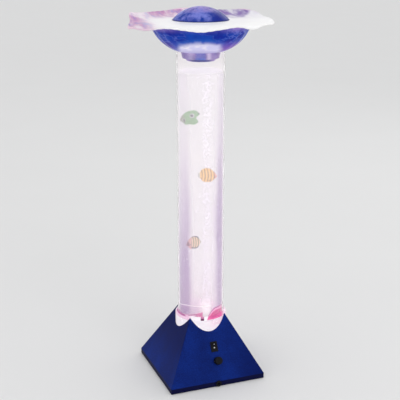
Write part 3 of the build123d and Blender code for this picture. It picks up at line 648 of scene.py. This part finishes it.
# A fish's place is across, towards the viewer and up, in mm. Its lane has half its width
# across and towards the viewer.
green_place = (-23, 0, 567)
orange_place = (14, 17, 447.98)
striped_place = (-15.5, -17, 287.02)
fish_lanes = [(green_place, 21, 6), (orange_place, 20, 6), (striped_place, 16, 5.5)]
lane_margin = 3


def in_a_lane(x, y, radius):
    """Whether a bubble would touch a fish on its way up, or hide it from in front."""
    across = x * math.cos(shown_side) + y * math.sin(shown_side)
    near = x * math.sin(shown_side) - y * math.cos(shown_side)
    return any(abs(across - place[0] * mm) < (half_across + lane_margin) * mm + radius
               and near - place[1] * mm > -(half_near + lane_margin / 2) * mm - radius
               for place, half_across, half_near in fish_lanes)


def bubble_tree(finish):
    """Geometry Nodes: a ball on each point, as wide as the point's own size."""
    tree = bpy.data.node_groups.new("rising_bubbles", "GeometryNodeTree")
    for name, way, kind in (("Geometry", "INPUT", "Geometry"), ("Radius", "INPUT", "Float"),
                            ("Segments", "INPUT", "Int"), ("Rings", "INPUT", "Int"),
                            ("Geometry", "OUTPUT", "Geometry")):
        tree.interface.new_socket(name, in_out=way, socket_type="NodeSocket" + kind)
    wire = Wire(tree)
    points = wire.add("NodeGroupInput")
    sizes = {name: wire.add("NodeGroupInput", output=name) for name in ball_sizes}
    ball = wire.add("GeometryNodeMeshUVSphere", None, sizes)
    size = wire.add("GeometryNodeInputNamedAttribute", None, {"Name": "size"})
    placed = wire.add("GeometryNodeInstanceOnPoints", None,
                      {"Points": points, "Instance": ball, "Scale": size})
    real = wire.add("GeometryNodeRealizeInstances", None, {"Geometry": placed})
    smooth = wire.add("GeometryNodeSetShadeSmooth", None, {"Geometry": real})
    coated = wire.add("GeometryNodeSetMaterial", None,
                      {"Geometry": smooth, "Material": finish.material})
    result = tree.nodes.new("NodeGroupOutput")
    tree.links.new(coated.socket, result.inputs["Geometry"])
    return tree


# The bubbles' colour is also fed as a painted glow, for the light of the lamps in the water.
air = Finish("air_in_water", alpha=0.5, ior=1.33, emission_strength=0.38)
shine = air.noise(220)
air.paint(shine.tint((0.85, 0.82, 0.92), (1, 0.98, 1)), 0.05 + 0.1 * shine,
          glow=shine.tint((0.8, 0.75, 0.95), (1, 0.95, 1)))

draw = random.Random(5)
rising = bubble_tree(air)


def even_spot():
    radius, turn = bubble_room * math.sqrt(draw.random()), draw.uniform(0, 2 * math.pi)
    return radius * math.cos(turn), radius * math.sin(turn)


def beside_axis(across, height, near):
    """A point to the right of the tube's axis and towards the viewer, in the lamp's frame."""
    cos, sin = math.cos(shown_side), math.sin(shown_side)
    return across * cos + near * sin, across * sin - near * cos, height


def plume_spot():
    across, near = (draw.gauss(m, s) for m, s in zip(plume_middle, plume_spread))
    return beside_axis(across, 0, near)[:2]


def bubble_cloud(name, count, pick, rarity):
    """Bubbles at picked places, made by the node tree and kept as one plain mesh; a
    higher rarity makes large ones rarer."""
    places, sizes = [], []
    while len(places) < count:
        x, y = pick()
        size = smallest_bubble + (largest_bubble - smallest_bubble) * draw.random() ** rarity
        if math.hypot(x, y) + size / 2 < bubble_room and not in_a_lane(x, y, size / 2):
            places.append((x, y, draw.uniform(bubble_bottom, bubble_top)))
            sizes.append(size)
    cloud = bpy.data.meshes.new(name + "_points")
    cloud.from_pydata(places, [], [])
    cloud.attributes.new("size", "FLOAT", "POINT").data.foreach_set("value", sizes)
    carrier = bpy.data.objects.new(name + "_points", cloud)
    bpy.context.collection.objects.link(carrier)
    maker = carrier.modifiers.new("bubbles", "NODES")
    maker.node_group = rising
    for item in rising.interface.items_tree:
        if item.name in ball_sizes:
            maker[item.identifier] = ball_sizes[item.name]
    bpy.context.view_layer.update()
    ready = carrier.evaluated_get(bpy.context.evaluated_depsgraph_get())
    shown = bpy.data.objects.new(name, bpy.data.meshes.new_from_object(ready))
    bpy.data.objects.remove(carrier)
    bpy.context.collection.objects.link(shown)
    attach(shown, "stand")


bubble_cloud("air_bubbles", cloud_count, even_spot, cloud_rarity)
bubble_cloud("air_plume", plume_count, plume_spot, plume_rarity)


# Toy fish. Three flat moulded fish, painted like reef fish, that hang in the water and
# are carried up by the bubbles. The body swells between thin ribbed fins, with a raised
# eye on each side.
fin_half = 0.7 * mm
fish_columns = 44
fish_rows = 26
eye_segments = 16
eye_rings = 8
eye_sunk_share = 0.4


def eased(pairs, x):
    """A smooth curve through a table of places and values."""
    xs, ys = (np.array(column, float) for column in zip(*pairs))
    slopes = np.gradient(ys, xs)
    i = int(np.clip(np.searchsorted(xs, x) - 1, 0, len(xs) - 2))
    gap = xs[i + 1] - xs[i]
    t = float(np.clip((x - xs[i]) / gap, 0, 1))
    return ((2 * t ** 3 - 3 * t ** 2 + 1) * ys[i] + (t ** 3 - 2 * t ** 2 + t) * gap * slopes[i]
            + (3 * t ** 2 - 2 * t ** 3) * ys[i + 1] + (t ** 3 - t ** 2) * gap * slopes[i + 1])


def toy_fish(name, swimmer, painted, middle, top, bottom, tail, swell, half_thick, ribs,
             eye, eye_radius):
    """A fish from its outline in mm: top and bottom edges from nose to tail, the tail's
    end for each share of height, the swelling's middle and reach, and the eye."""
    nose, tail_end = top[0][0], max(end for share, end in tail)
    work = bmesh.new()
    sides = ([], [])

    def at(x, z, out):
        return beside_axis((middle[0] + x) * mm, (middle[2] + z) * mm, middle[1] * mm + out)

    def body(x, z):
        """The turn round the swelling's middle, and how far the body rises over the fins."""
        dx, dz = (x - swell[0]) / swell[2], (z - swell[1]) / swell[3]
        rise = (half_thick * mm - fin_half) * math.sqrt(max(0, 1 - dx * dx - dz * dz))
        return math.atan2(dz, dx), rise

    for i in range(fish_columns + 1):
        straight = nose + (tail_end - nose) * i / fish_columns
        low, high = eased(bottom, straight), eased(top, straight)
        for side in sides:
            side.append([])
        for j in range(fish_rows + 1):
            share = 0.5 - 0.5 * math.cos(math.pi * j / fish_rows)
            x = nose + (eased(tail, share) - nose) * i / fish_columns
            z = low + share * (high - low)
            turn, rise = body(x, z)
            half = fin_half * (0.7 + 0.3 * math.cos(ribs * turn)) + rise
            if i in (0, fish_columns) or j in (0, fish_rows):
                pair = [work.verts.new(at(x, z, 0))] * 2
            else:
                pair = [work.verts.new(at(x, z, half)), work.verts.new(at(x, z, -half))]
            for side, vertex in zip(sides, pair):
                side[-1].append(vertex)
    for side in sides:
        for row, after in zip(side, side[1:]):
            for j in range(fish_rows):
                work.faces.new((row[j], after[j], after[j + 1], row[j + 1]))
    eye_out = fin_half + body(*eye)[1] - eye_sunk_share * eye_radius * mm
    for way in (1, -1):
        turn = mathutils.Matrix.Translation(at(*eye, way * eye_out))
        ball = bmesh.ops.create_uvsphere(work, u_segments=eye_segments, v_segments=eye_rings,
                                         radius=eye_radius * mm, matrix=turn)
        for vertex in ball["verts"]:
            for face in vertex.link_faces:
                face.material_index = 1
    bmesh.ops.recalc_face_normals(work, faces=work.faces)
    return new_piece(name, work, [painted, eye_gloss], swimmer)


def fish_skin(name, middle):
    """The painted finish of one fish, and how many mm a spot is along and up its side."""
    # The skin's colours are also fed as a painted glow, for the light in the water.
    painted = Finish(name, specular_ior_level=0.3, emission_strength=0.3)
    centre = beside_axis(middle[0] * mm, middle[2] * mm, middle[1] * mm)
    along, _, up = painted.laid_out(centre)
    return painted, along, up


def patch(along, up, x, z, half_x, half_z, soft):
    """1 inside an ellipse of the fish's side, in mm from its middle, with a soft edge."""
    dx, dz = (along - x) / half_x, (up - z) / half_z
    return (dx * dx + dz * dz).step(1 + soft, 1 - soft)


eye_gloss = Finish("eye_gloss", specular_ior_level=0.7, coat_weight=0.8, coat_roughness=0.03)
glint = eye_gloss.noise(900)
eye_gloss.paint(glint.tint((0.015, 0.012, 0.012), (0.045, 0.035, 0.035)), 0.1 + 0.15 * glint)

green_skin, along, up = fish_skin("fish_green_skin", green_place)
scales = green_skin.wire.add("ShaderNodeTexVoronoi", None,
                             {"Vector": green_skin.place(), "Scale": 620})
bars = (along * 0.9 + up * 0.5).waves()
green = layered(
    (0.7 * green_skin.noise(90, 3) + 0.3 * bars).tint((0.1, 0.31, 0.11), (0.28, 0.47, 0.23)),
    (along.step(-8, -18), (0.3, 0.3, 0.22)),
    (patch(along, up, 5, 4.2, 5, 4.4, 0.35), (0.6, 0.58, 0.62)),  # pale ring on the flank
    (patch(along, up, 4.4, 4.6, 3.1, 2.6, 0.3), (0.005, 0.004, 0.02)),  # dark spot in the ring
    (patch(along, up, -12, -5, 4, 5, 0.5), (0.4, 0.44, 0.36)),  # pale cheek
    (patch(along, up, -10.8, -6, 1.5, 4, 0.4), (0.004, 0.004, 0.004)),  # bar beside the eye
    (patch(along, up, 19.5, 10, 1.6, 4.2, 0.5), (0.06, 0.05, 0.09)),  # upper tip of the tail
    (patch(along, up, 17.2, -12, 1.6, 3.4, 0.5), (0.06, 0.05, 0.06)))  # lower tip of the tail
green_skin.paint(green, 0.28 + 0.2 * scales, glow=green)
green_skin.bump(scales, 0.3 * mm)
green_fish = toy_fish(
    "green_fish", "green_swimmer", green_skin, green_place,
    top=[(-21, -4.6), (-16, 3.2), (-9.5, 9.2), (-1.6, 13), (7, 14.8), (15, 14.6), (20.8, 11)],
    bottom=[(-21, -5.6), (-13.5, -10.7), (-8.3, -14), (-5.6, -16), (-3, -14.8), (1, -14.6),
            (10, -15.2), (16, -14.8), (20.8, -12)],
    tail=[(0, 15.5), (0.12, 18.2), (0.3, 16.2), (0.44, 14), (0.56, 14.6), (0.75, 19.4),
          (0.9, 20.8), (1, 17.5)],
    swell=(-2, -0.5, 17, 12), half_thick=5.4, ribs=26, eye=(-12.2, -4.6), eye_radius=1.5)
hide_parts("fish_green")

orange_skin, along, up = fish_skin("fish_orange_skin", orange_place)
mottle = orange_skin.noise(260, 4)
bands = (1.01 * (along + 0.012 * up * up)).waves().step(0.45, 0.9)
peach = layered(
    mottle.tint((0.92, 0.5, 0.08), (0.96, 0.66, 0.22)),
    (bands * (0.5 + 0.5 * mottle.step(0.3, 0.6)), (0.32, 0.1, 0.02)),
    (along.step(12.5, 17), (0.85, 0.38, 0.32)),
    (patch(along, up, 4.2, -11.4, 2.2, 1.2, 0.5), (0.2, 0.12, 0.06)),
    (along.step(-14.5, -16.5), (0.55, 0.56, 0.52)))
orange_skin.paint(peach, 0.3 + 0.2 * mottle, glow=peach)
orange_skin.bump(mottle, 0.3 * mm)
orange_fish = toy_fish(
    "orange_fish", "orange_swimmer", orange_skin, orange_place,
    top=[(-19.5, 5), (-15.5, 6.5), (-13, 10.5), (-7, 14), (0, 15), (7, 13), (13, 7.5),
         (17, 2.5), (19.6, -1.2)],
    bottom=[(-19.5, -5), (-15.5, -6), (-13.5, -9), (-8, -14), (0, -15), (7, -14),
            (12, -10.5), (16.5, -6.5), (19.6, -3)],
    tail=[(0, 19.6), (0.5, 19.7), (1, 19.6)],
    swell=(1, -0.5, 16.5, 12), half_thick=5.4, ribs=30, eye=(14.2, -3.6), eye_radius=1.6)
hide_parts("fish_orange")

striped_skin, along, up = fish_skin("fish_striped_skin", striped_place)
mottle = striped_skin.noise(240, 3)
bands = (1.25 * (along + 0.018 * up * up) + 1).waves()
ring_x, ring_z = (along - 2) / 13.6, (up - 0.5) / 13.8
rim = (ring_x * ring_x + ring_z * ring_z).step(0.66, 0.86) * along.step(-7, -2)
cream = layered(
    bands.step(0.4, 0.75).tint((0.9, 0.64, 0.44), (0.24, 0.2, 0.03)),
    (along.step(-1, -8), (0.75, 0.4, 0.34)),
    (patch(along, up, -12.5, -3.5, 3.6, 5.5, 0.4), (0.24, 0.07, 0.08)),
    (mottle.step(0.55, 0.8) * 0.5, (0.85, 0.72, 0.6)),
    (rim * (up * up).step(10, 60), (0.03, 0.01, 0.07)))
striped_skin.paint(cream, 0.3 + 0.2 * mottle, glow=cream)
striped_skin.bump(bands, 0.2 * mm)
striped_fish = toy_fish(
    "striped_fish", "striped_swimmer", striped_skin, striped_place,
    top=[(-16.4, -5), (-12.6, 2.4), (-8, 8.2), (-3.2, 12.4), (3, 14.2), (9, 14), (14, 9.6),
         (16, 3.6)],
    bottom=[(-16.4, -6.6), (-12, -10), (-8, -13.6), (-4.2, -16.6), (-1, -14.2), (4, -14.4),
            (9, -13.2), (13.6, -9.4), (16, -3.4)],
    tail=[(0, 12.5), (0.25, 14.6), (0.5, 15.8), (0.75, 15.4), (1, 13)],
    swell=(0, -0.5, 14, 12), half_thick=4.9, ribs=24, eye=(-6.6, -4.2), eye_radius=1.1)
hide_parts("fish_striped")


# Tube collar. A clear moulded ring that fills the shell's hole around the tube; the light
# of the lamps under it is painted on it, white and pink, and also fed as its glow.
collar_clear = Finish("collar_clear", transmission_weight=0.2, ior=1.49, emission_strength=0.4,
                      specular_ior_level=0.3)
# What follows is in mm right of the axis, behind it and over the floor.
across, back, up = collar_clear.laid_out()
cloud = collar_clear.noise(48, 3)
streaks = collar_clear.noise(120, 3, collar_clear.place((0.4, 0.4, 1.5)))
# The pink and magenta patches, lines and streaks are painted light of the lamps below; the colour,
# dimmed, is also the painted glow, pale inside the bore.
front = back.step(10, -10)
left_pink_light = up.step(131.2, 132.2) * front * across.step(-18, -28)
left_line = up.step(136.6, 137.2) * across.step(-30, -36) * front
right_fold = (across - 0.4 * (up - 138)).step(14.5, 16.5) * across.step(52, 44)
right_fold = right_fold * up.step(133.3, 134.1) * front
drop = up.step(132.5, 133.5) * front * across.near(3.6, 4.4, 3)
seam = up.near(131.8, 0.9, 0.3) * across.step(4, 12) * front * 0.5
low_pink_light = across.step(12, 34) * up.step(106, 120) * streaks.step(0.3, 0.6) * 0.5
threads = streaks.near(0.5, 0.0233, 0.0033) * 0.25
rosy = layered(
    cloud.tint((0.92, 0.88, 0.93), (0.98, 0.96, 0.97)),
    (low_pink_light.larger(threads), (0.88, 0.5, 0.7)),
    (left_pink_light, (0.86, 0.58, 0.75)),
    (seam, (0.55, 0.42, 0.58)),
    (left_line, (0.5, 0.16, 0.36)),
    (right_fold, streaks.step(0.4, 0.6).tint((0.8, 0.14, 0.38), (0.7, 0.1, 0.32))),
    (drop, up.step(136.2, 137.6).tint((0.13, 0.01, 0.08), (0.62, 0.22, 0.42))))
dim_rosy = collar_clear.wire.add("ShaderNodeVectorMath", {"operation": "SCALE"},
                                 {0: rosy, "Scale": 0.3})
in_bore = (across * across + back * back).step(50.6 ** 2, 50.4 ** 2)
collar_clear.paint(rosy, 0.16 + 0.2 * cloud, glow=in_bore.tint(dim_rosy, (0.8, 0.76, 0.84)))
collar_clear.bump(cloud, 0.6 * mm)
collar_clear.onto("tube_collar")


# Glass bowl. Deep blue blown glass with a stepped foot that stands in the tube's mouth;
# soft lobes run up its belly. The tube's light is painted on its floor, and its colour is
# also fed as a painted glow.
bowl_segments = 240
bowl_lobes = 24
lobe_depth_share = 0.005
lobe_start = 706 * mm
lobe_reach = 57 * mm
belly_steps = 30
foot_profile = [(0, 685), (27, 685), (29.4, 685.6), (30, 686.6), (32.1, 690), (32.6, 690.5),
                (37.2, 690.5), (38, 691.2), (41.1, 703.6), (41.8, 704.9), (50, 705)]
foot_inside = [(48.5, 708), (39.5, 708), (38.3, 706.5), (35.3, 694.5), (34, 693.5),
               (29.8, 693.5), (27.2, 689.2), (25.8, 688.2), (0, 688)]
belly_outside = [(50, 705), (81.32, 724.314), (104, 763)]
belly_inside = [(48.5, 708), (79.07, 726.564), (101, 763)]
brim_profile = [(103.6, 762.2), (103.4, 762.8), (102.9, 763), (101.9, 763), (101.3, 762.8)]


def arc_through(first, middle, last, count):
    """Points on the circle through three points, between the first and the last."""
    (ax, ay), (bx, by), (cx, cy) = first, middle, last
    d = 2 * (ax * (by - cy) + bx * (cy - ay) + cx * (ay - by))
    a, b, c = (x * x + y * y for x, y in (first, middle, last))
    ox = (a * (by - cy) + b * (cy - ay) + c * (ay - by)) / d
    oy = (a * (cx - bx) + b * (ax - cx) + c * (bx - ax)) / d
    start, end = math.atan2(ay - oy, ax - ox), math.atan2(cy - oy, cx - ox)
    radius = math.hypot(ax - ox, ay - oy)
    turns = [start + (end - start) * i / count for i in range(1, count)]
    return [(ox + radius * math.cos(t), oy + radius * math.sin(t)) for t in turns]


def lobed(angle, radius, height):
    """Lobes that lean with the swirl of the glass and fade at the foot and the brim."""
    share = min(1, max(0, (height - lobe_start) / lobe_reach))
    swell = math.sin(math.pi * share) ** 0.8 if 0 < share < 1 else 0
    return 1 + lobe_depth_share * swell * math.cos(bowl_lobes * angle + 3 * share), 0


profile = foot_profile + arc_through(*belly_outside, belly_steps) + brim_profile
profile += arc_through(*belly_inside, belly_steps)[::-1] + foot_inside
bowl_rings = [ring_at(r * mm, h * mm, bowl_segments, lobed) for r, h in profile]

deep_blue = Finish("blue_glass", transmission_weight=0.2, ior=1.5, specular_ior_level=0.04,
                   emission_strength=0.3)
across, back, up = deep_blue.laid_out()
radius = (across * across + back * back) ** 0.5
swirl = deep_blue.noise(26, 4, deep_blue.place((1, 1, 2.2), turn=(0.35, 0.2, 0)))
streak = deep_blue.noise(70, 3, deep_blue.place((1, 1, 0.4), turn=(0.2, 0.5, 0)))
front = back.step(10, -10)
outward = across.apart(20, 70)

# The foot is violet, with painted shade at its outer sides, a painted highlight on each
# side, a blue painted shade down its middle and a dark painted shade at its lower edge.
shine = (across.near(16.5, 7, 0) * 0.85 + across.near(-20, 9, 1) * 0.4) * up.step(687, 691)
foot_middle_shade = across.apart(13, 5) * (0.5 + 0.5 * up.step(697, 691))
foot_bottom_shade = (up + 3 * streak).step(693.5, 690) * across.apart(26, 12)
foot = layered(
    swirl.step(0.4, 0.6).tint((0.22, 0.15, 0.5), (0.4, 0.27, 0.62)),
    (across.apart(27, 36) * 0.6, (0.2, 0.11, 0.4)),
    (shine, (0.76, 0.66, 0.88)),
    (foot_middle_shade, (0.03, 0.13, 0.68)),
    (foot_bottom_shade, (0.004, 0.008, 0.26)))

# The belly is a swirled blue with pale folds, and violet at the brim and low on its sides.
# Its floor, and a patch in front with a ragged upper edge, are painted pale with the light
# of the tube.
cloudy = (swirl * 0.65 + streak * 0.35).step(0.36, 0.66)
folds = swirl.near(0.5, 0.0269, 0.0038) * (0.15 + 0.3 * outward)
brim = up.step(744, 762) * (0.25 + 0.4 * streak.step(0.3, 0.6) + 0.3 * outward)
fringe = up + 12.8 * (streak - 0.5) + 8 * (swirl - 0.5) + 0.004 * across * across
over_mouth = fringe.step(742, 732) * across.apart(58, 40) * front
low_side = up.step(736, 712) * (0.25 + 0.55 * across.step(-40, 20))
bright = fringe.step(735, 722.5) * across.step(-50, -36) * across.step(48, 31) * front
tube_light_colour = (0.5 * streak + 0.5 * swirl).step(0.42, 0.6).tint((0.6, 0.58, 0.79), (0.8, 0.77, 0.85))
tube_light_colour = up.step(716.5, 707.5).tint(tube_light_colour, (0.5, 0.47, 0.7))
blue = layered(
    cloudy.tint((0.001, 0.013, 0.28), (0.003, 0.06, 0.42)),
    (folds, (0.17, 0.22, 0.68)),
    (brim, outward.tint((0.14, 0.12, 0.42), (0.4, 0.26, 0.6))),
    (over_mouth, (0.02, 0.1, 0.45)),
    (low_side, (0.2, 0.05, 0.42)),
    (bright.larger(radius.step(62, 50)), tube_light_colour),
    (up.step(705.5, 704.5), foot))
deep_blue.paint(blue, 0.05 + 0.1 * streak, glow=blue)
deep_blue.bump(swirl, 1 * mm, 0.4)
blue_bowl = new_piece("blue_bowl", skin(bowl_rings), [deep_blue], "bowl")
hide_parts("glass_bowl")


# Ruffled dish. One sheet of clouded white glass lies on the bowl's brim with a shallow
# ring under it; its wide edge rises and falls in soft folds, more so further out.
dish_segments = 288
brim_rings = 22
dish_hole = 44
bowl_brim = 104
dish_edge = 148
ruffle_rise = 13
ruffle_reach = 6
dish_low = 763
dish_high = 766
dish_wall = dish_high - dish_low
flute_count = 64
flute_height = 0.25
under_profile = [
    (dish_hole, 765.4), (dish_hole, 763.6), (dish_hole + 0.6, dish_low), (70, dish_low),
    (95.8, dish_low), (95.9, 759.5), (96.4, 759), (98.3, 759), (98.8, 759.5), (98.9, dish_low)]
top_radii = (98, 84, 70, 56, dish_hole + 0.6)
edge_profile = [(0, -1.4), (0.5, -0.4), (1.5, 0), (2.5, -0.4), (3, -1.4)]

# Each fold has its place round the edge in degrees, and its share of rise and of reach.
ruffles = [
    (0, -0.23, 0.0), (16, 0.05, 0.1), (26, 0.2, -0.35), (36, 0.68, 0.0),
    (50, 1.0, 0.0), (68, 0.74, -0.3), (86, 0.76, -0.3), (104, 1.0, 0.0),
    (123, 0.66, -0.3), (140, 0.62, -0.2), (158, 0.75, 0.0), (170, 0.9, 0.1),
    (180, 0.0, -0.9), (191, -0.8, 0.0), (208, -0.66, -0.2), (224, -0.66, -0.1),
    (244, -0.16, -0.3), (258, -0.35, -0.2), (270, -0.55, 0.0), (284, -0.25, 0.0),
    (300, 0.0, -0.15), (312, -0.45, 0.0), (326, -0.12, -0.2), (344, -0.2, -0.1),
]
rise_table = [(a + 360 * k, rise) for k in (-1, 0, 1) for a, rise, _ in ruffles]
reach_table = [(a + 360 * k, reach) for k in (-1, 0, 1) for a, _, reach in ruffles]
dish_angles = [360 * i / dish_segments for i in range(dish_segments)]
dish_turns = [math.radians(a) + shown_side for a in dish_angles]
edge_shape = [(eased(rise_table, a), eased(reach_table, a)) for a in dish_angles]


def around(radius, turn, height):
    """A point round the axis, in metres, from its radius and height in mm."""
    return radius * mm * math.cos(turn), radius * mm * math.sin(turn), height * mm


def dish_ring(share, lift, out=0.0):
    """A ring of the wavy brim, from the bowl's brim at 0 to the edge at 1."""
    points = []
    for turn, (rise, reach) in zip(dish_turns, edge_shape):
        radius = bowl_brim + share * (dish_edge - bowl_brim + reach * ruffle_reach) + out
        flute = flute_height * share ** 3 * math.sin(flute_count * turn)
        height = dish_low + share ** 2 * rise * ruffle_rise + lift + flute
        points.append(around(radius, turn, height))
    return points


def flat_ring(radius, height):
    return [around(radius, turn, height) for turn in dish_turns]


shares = [i / brim_rings for i in range(brim_rings)]
dish_rings = [flat_ring(r, h) for r, h in under_profile]
dish_rings += [dish_ring(s, 0) for s in shares]
dish_rings += [dish_ring(1, lift, out) for lift, out in edge_profile]
dish_rings += [dish_ring(s, dish_wall) for s in shares[::-1]]
dish_rings += [flat_ring(r, dish_high) for r in top_radii]

clouded = Finish("clouded_glass", transmission_weight=0.25, ior=1.48, specular_ior_level=0.12,
                 emission_strength=0.1)
across, back, _ = clouded.laid_out()
radius = (across * across + back * back) ** 0.5
cloud = clouded.noise(16, 4)
wisps = clouded.noise(34, 5, clouded.place((1, 0.35, 1), turn=(0, 0, 0.6)))
fine_wisps = clouded.noise(90, 3, clouded.place((1, 0.25, 1), turn=(0, 0, 0.6)))
veil = back.step(0, 100) + (-0.2 * back - across).step(88, 135)
veil = veil.work("MINIMUM", veil, 1) * (1 - 0.8 * (across - 0.4 * back).step(56, 70))
veil = veil * (0.25 + 0.75 * (wisps * 0.6 + fine_wisps * 0.4).step(0.38, 0.6))
left_shade = fine_wisps.step(0.46, 0.72).tint((0.58, 0.28, 0.51), (0.36, 0.27, 0.6))
# The glass is lavender towards the back and at the left tip; the pink line along its edge there is a
# painted highlight, and its colour is also fed as a painted glow.
milk = layered(
    cloud.step(0.4, 0.7).tint((0.93, 0.925, 0.93), (0.955, 0.945, 0.935)),
    (veil * radius.step(50, 100), across.step(-50, 50).tint(left_shade, (0.22, 0.12, 0.43))),
    (veil * radius.step(144.5, 146), (0.95, 0.74, 0.84)))
clouded.paint(milk, 0.25 + 0.15 * cloud, glow=milk)
clouded.bump(wisps, 1 * mm, 0.3)
pale_dish = new_piece("pale_dish", skin(dish_rings, loop=True), [clouded], "dish")
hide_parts("ruffled_dish")


# Glass dome. A low blown cap of blue glass with lighter clouds, open below; a short ring
# inside it drops into the dish's hole. Its colour is also fed as a painted glow.
dome_segments = 160
cap_steps = 26
dome_base = 766
# The outer and the inner cap: radius at the rim, height of the top and radius of the ball.
dome_outer = (58.3, 793.5, 75.55)
dome_inner = (55.3, 791, 73.66)
spigot_outside = 43.4
spigot_inside = 40.9
spigot_bottom = 763.5
corner = 0.4
join_gap = 0.5


def on_cap(radius, top, ball):
    return radius, top - ball + math.sqrt(ball * ball - radius * radius)


def cap_points(radius, top, ball):
    """Points on a cap from its rim to its top."""
    places = [radius - radius * i / cap_steps for i in range(cap_steps + 1)]
    return [on_cap(r, top, ball) for r in places]


inner_side = cap_points(*dome_inner)[::-1]
profile = [(55.9, dome_base), (57.8, dome_base), (58.25, dome_base + 0.5)]
profile += cap_points(*dome_outer)[1:]
profile += [p for p in inner_side if p[0] < spigot_inside - join_gap]
profile += [on_cap(spigot_inside, *dome_inner[1:]), (spigot_inside, spigot_bottom + corner),
            (spigot_inside + corner, spigot_bottom), (spigot_outside - corner, spigot_bottom),
            (spigot_outside, spigot_bottom + corner), on_cap(spigot_outside, *dome_inner[1:])]
profile += [p for p in inner_side if p[0] > spigot_outside + join_gap]
dome_rings = [ring_at(r * mm, h * mm, dome_segments) for r, h in profile]

sky_blue = Finish("dome_glass", transmission_weight=0.2, ior=1.5, specular_ior_level=0.04,
                  emission_strength=0.3)
across, _, up = sky_blue.laid_out()
cloud = sky_blue.noise(54, 3)
patchy = sky_blue.noise(110, 3, sky_blue.place((1, 1, 0.5)))
# Painted light and shade: paler towards the middle and the left, darker on the right, and dark along
# the cap's foot.
cloudy = (cloud * 0.7 + patchy * 0.3 + across.near(6, 34, 6) * 0.12).step(0.46, 0.7)
blue = layered(
    cloudy.tint((0.008, 0.035, 0.28), (0.15, 0.18, 0.54)),
    (across.step(10, 36), (0.004, 0.014, 0.22)),
    (up.step(780, 790) * 0.8 * patchy.step(0.3, 0.6), (0.28, 0.2, 0.46)),
    (across.step(20, -50) * 0.4 * patchy.step(0.35, 0.6), (0.22, 0.22, 0.62)),
    (up.step(769.5, 766.5), (0.02, 0.03, 0.16)))
sky_blue.paint(blue, 0.06 + 0.1 * cloud, glow=blue)
sky_blue.bump(cloud, 1 * mm, 0.3)
blue_dome = new_piece("blue_dome", skin(dome_rings, loop=True), [sky_blue], "dome")
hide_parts("glass_dome")


# Floor, light and surroundings. A wide pale floor, a soft key light from the front right,
# a weaker one from behind, and a pale world that reflections also see.
floor_radius = 16
floor_segments = 96
aim_height = 0.4

floor_finish = Finish("pale_floor", specular_ior_level=0.3)
grain = floor_finish.noise(3, 4)
floor_finish.paint(grain.tint((0.79, 0.785, 0.78), (0.81, 0.805, 0.8)), 0.75 + 0.1 * grain)
floor_work = bmesh.new()
bmesh.ops.create_circle(floor_work, cap_ends=True, segments=floor_segments, radius=floor_radius)
floor = new_object("floor", floor_work, [floor_finish])


def soft_light(name, turn, height, distance, size, power):
    """A round area light that looks at the middle of the lamp."""
    lamp = bpy.data.lights.new(name, "AREA")
    lamp.shape = "DISK"
    lamp.size = size
    lamp.energy = power
    holder = bpy.data.objects.new(name, lamp)
    bpy.context.collection.objects.link(holder)
    angle = math.radians(turn) + camera_turn
    place = mathutils.Vector((distance * math.sin(angle), -distance * math.cos(angle), height))
    holder.location = place
    aim = mathutils.Vector((0, 0, aim_height)) - place
    holder.rotation_euler = aim.to_track_quat("-Z", "Y").to_euler()


soft_light("key_light", turn=30, height=2.4, distance=2.6, size=2, power=15)
soft_light("back_light", turn=150, height=2.2, distance=2.4, size=1.6, power=5)

world = bpy.data.worlds.new("surroundings")
bpy.context.scene.world = world
world.use_nodes = True
sky = Wire(world.node_tree)
camera_ray, glossy_ray, clear_ray = (
    sky.add("ShaderNodeLightPath", output=name)
    for name in ("Is Camera Ray", "Is Glossy Ray", "Is Transmission Ray"))
seen = camera_ray.larger(glossy_ray).larger(clear_ray)
ambient = sky.add("ShaderNodeBackground", None, {"Color": (0.98, 0.99, 1, 1), "Strength": 0.88})
backdrop = sky.add("ShaderNodeBackground", None, {"Color": (0.86, 0.86, 0.86, 1), "Strength": 1})
both = sky.add("ShaderNodeMixShader", None, {0: seen, 1: ambient, 2: backdrop})
world.node_tree.links.new(both.socket, world.node_tree.nodes["World Output"].inputs["Surface"])
bpy.context.scene.view_settings.view_transform = "Standard"
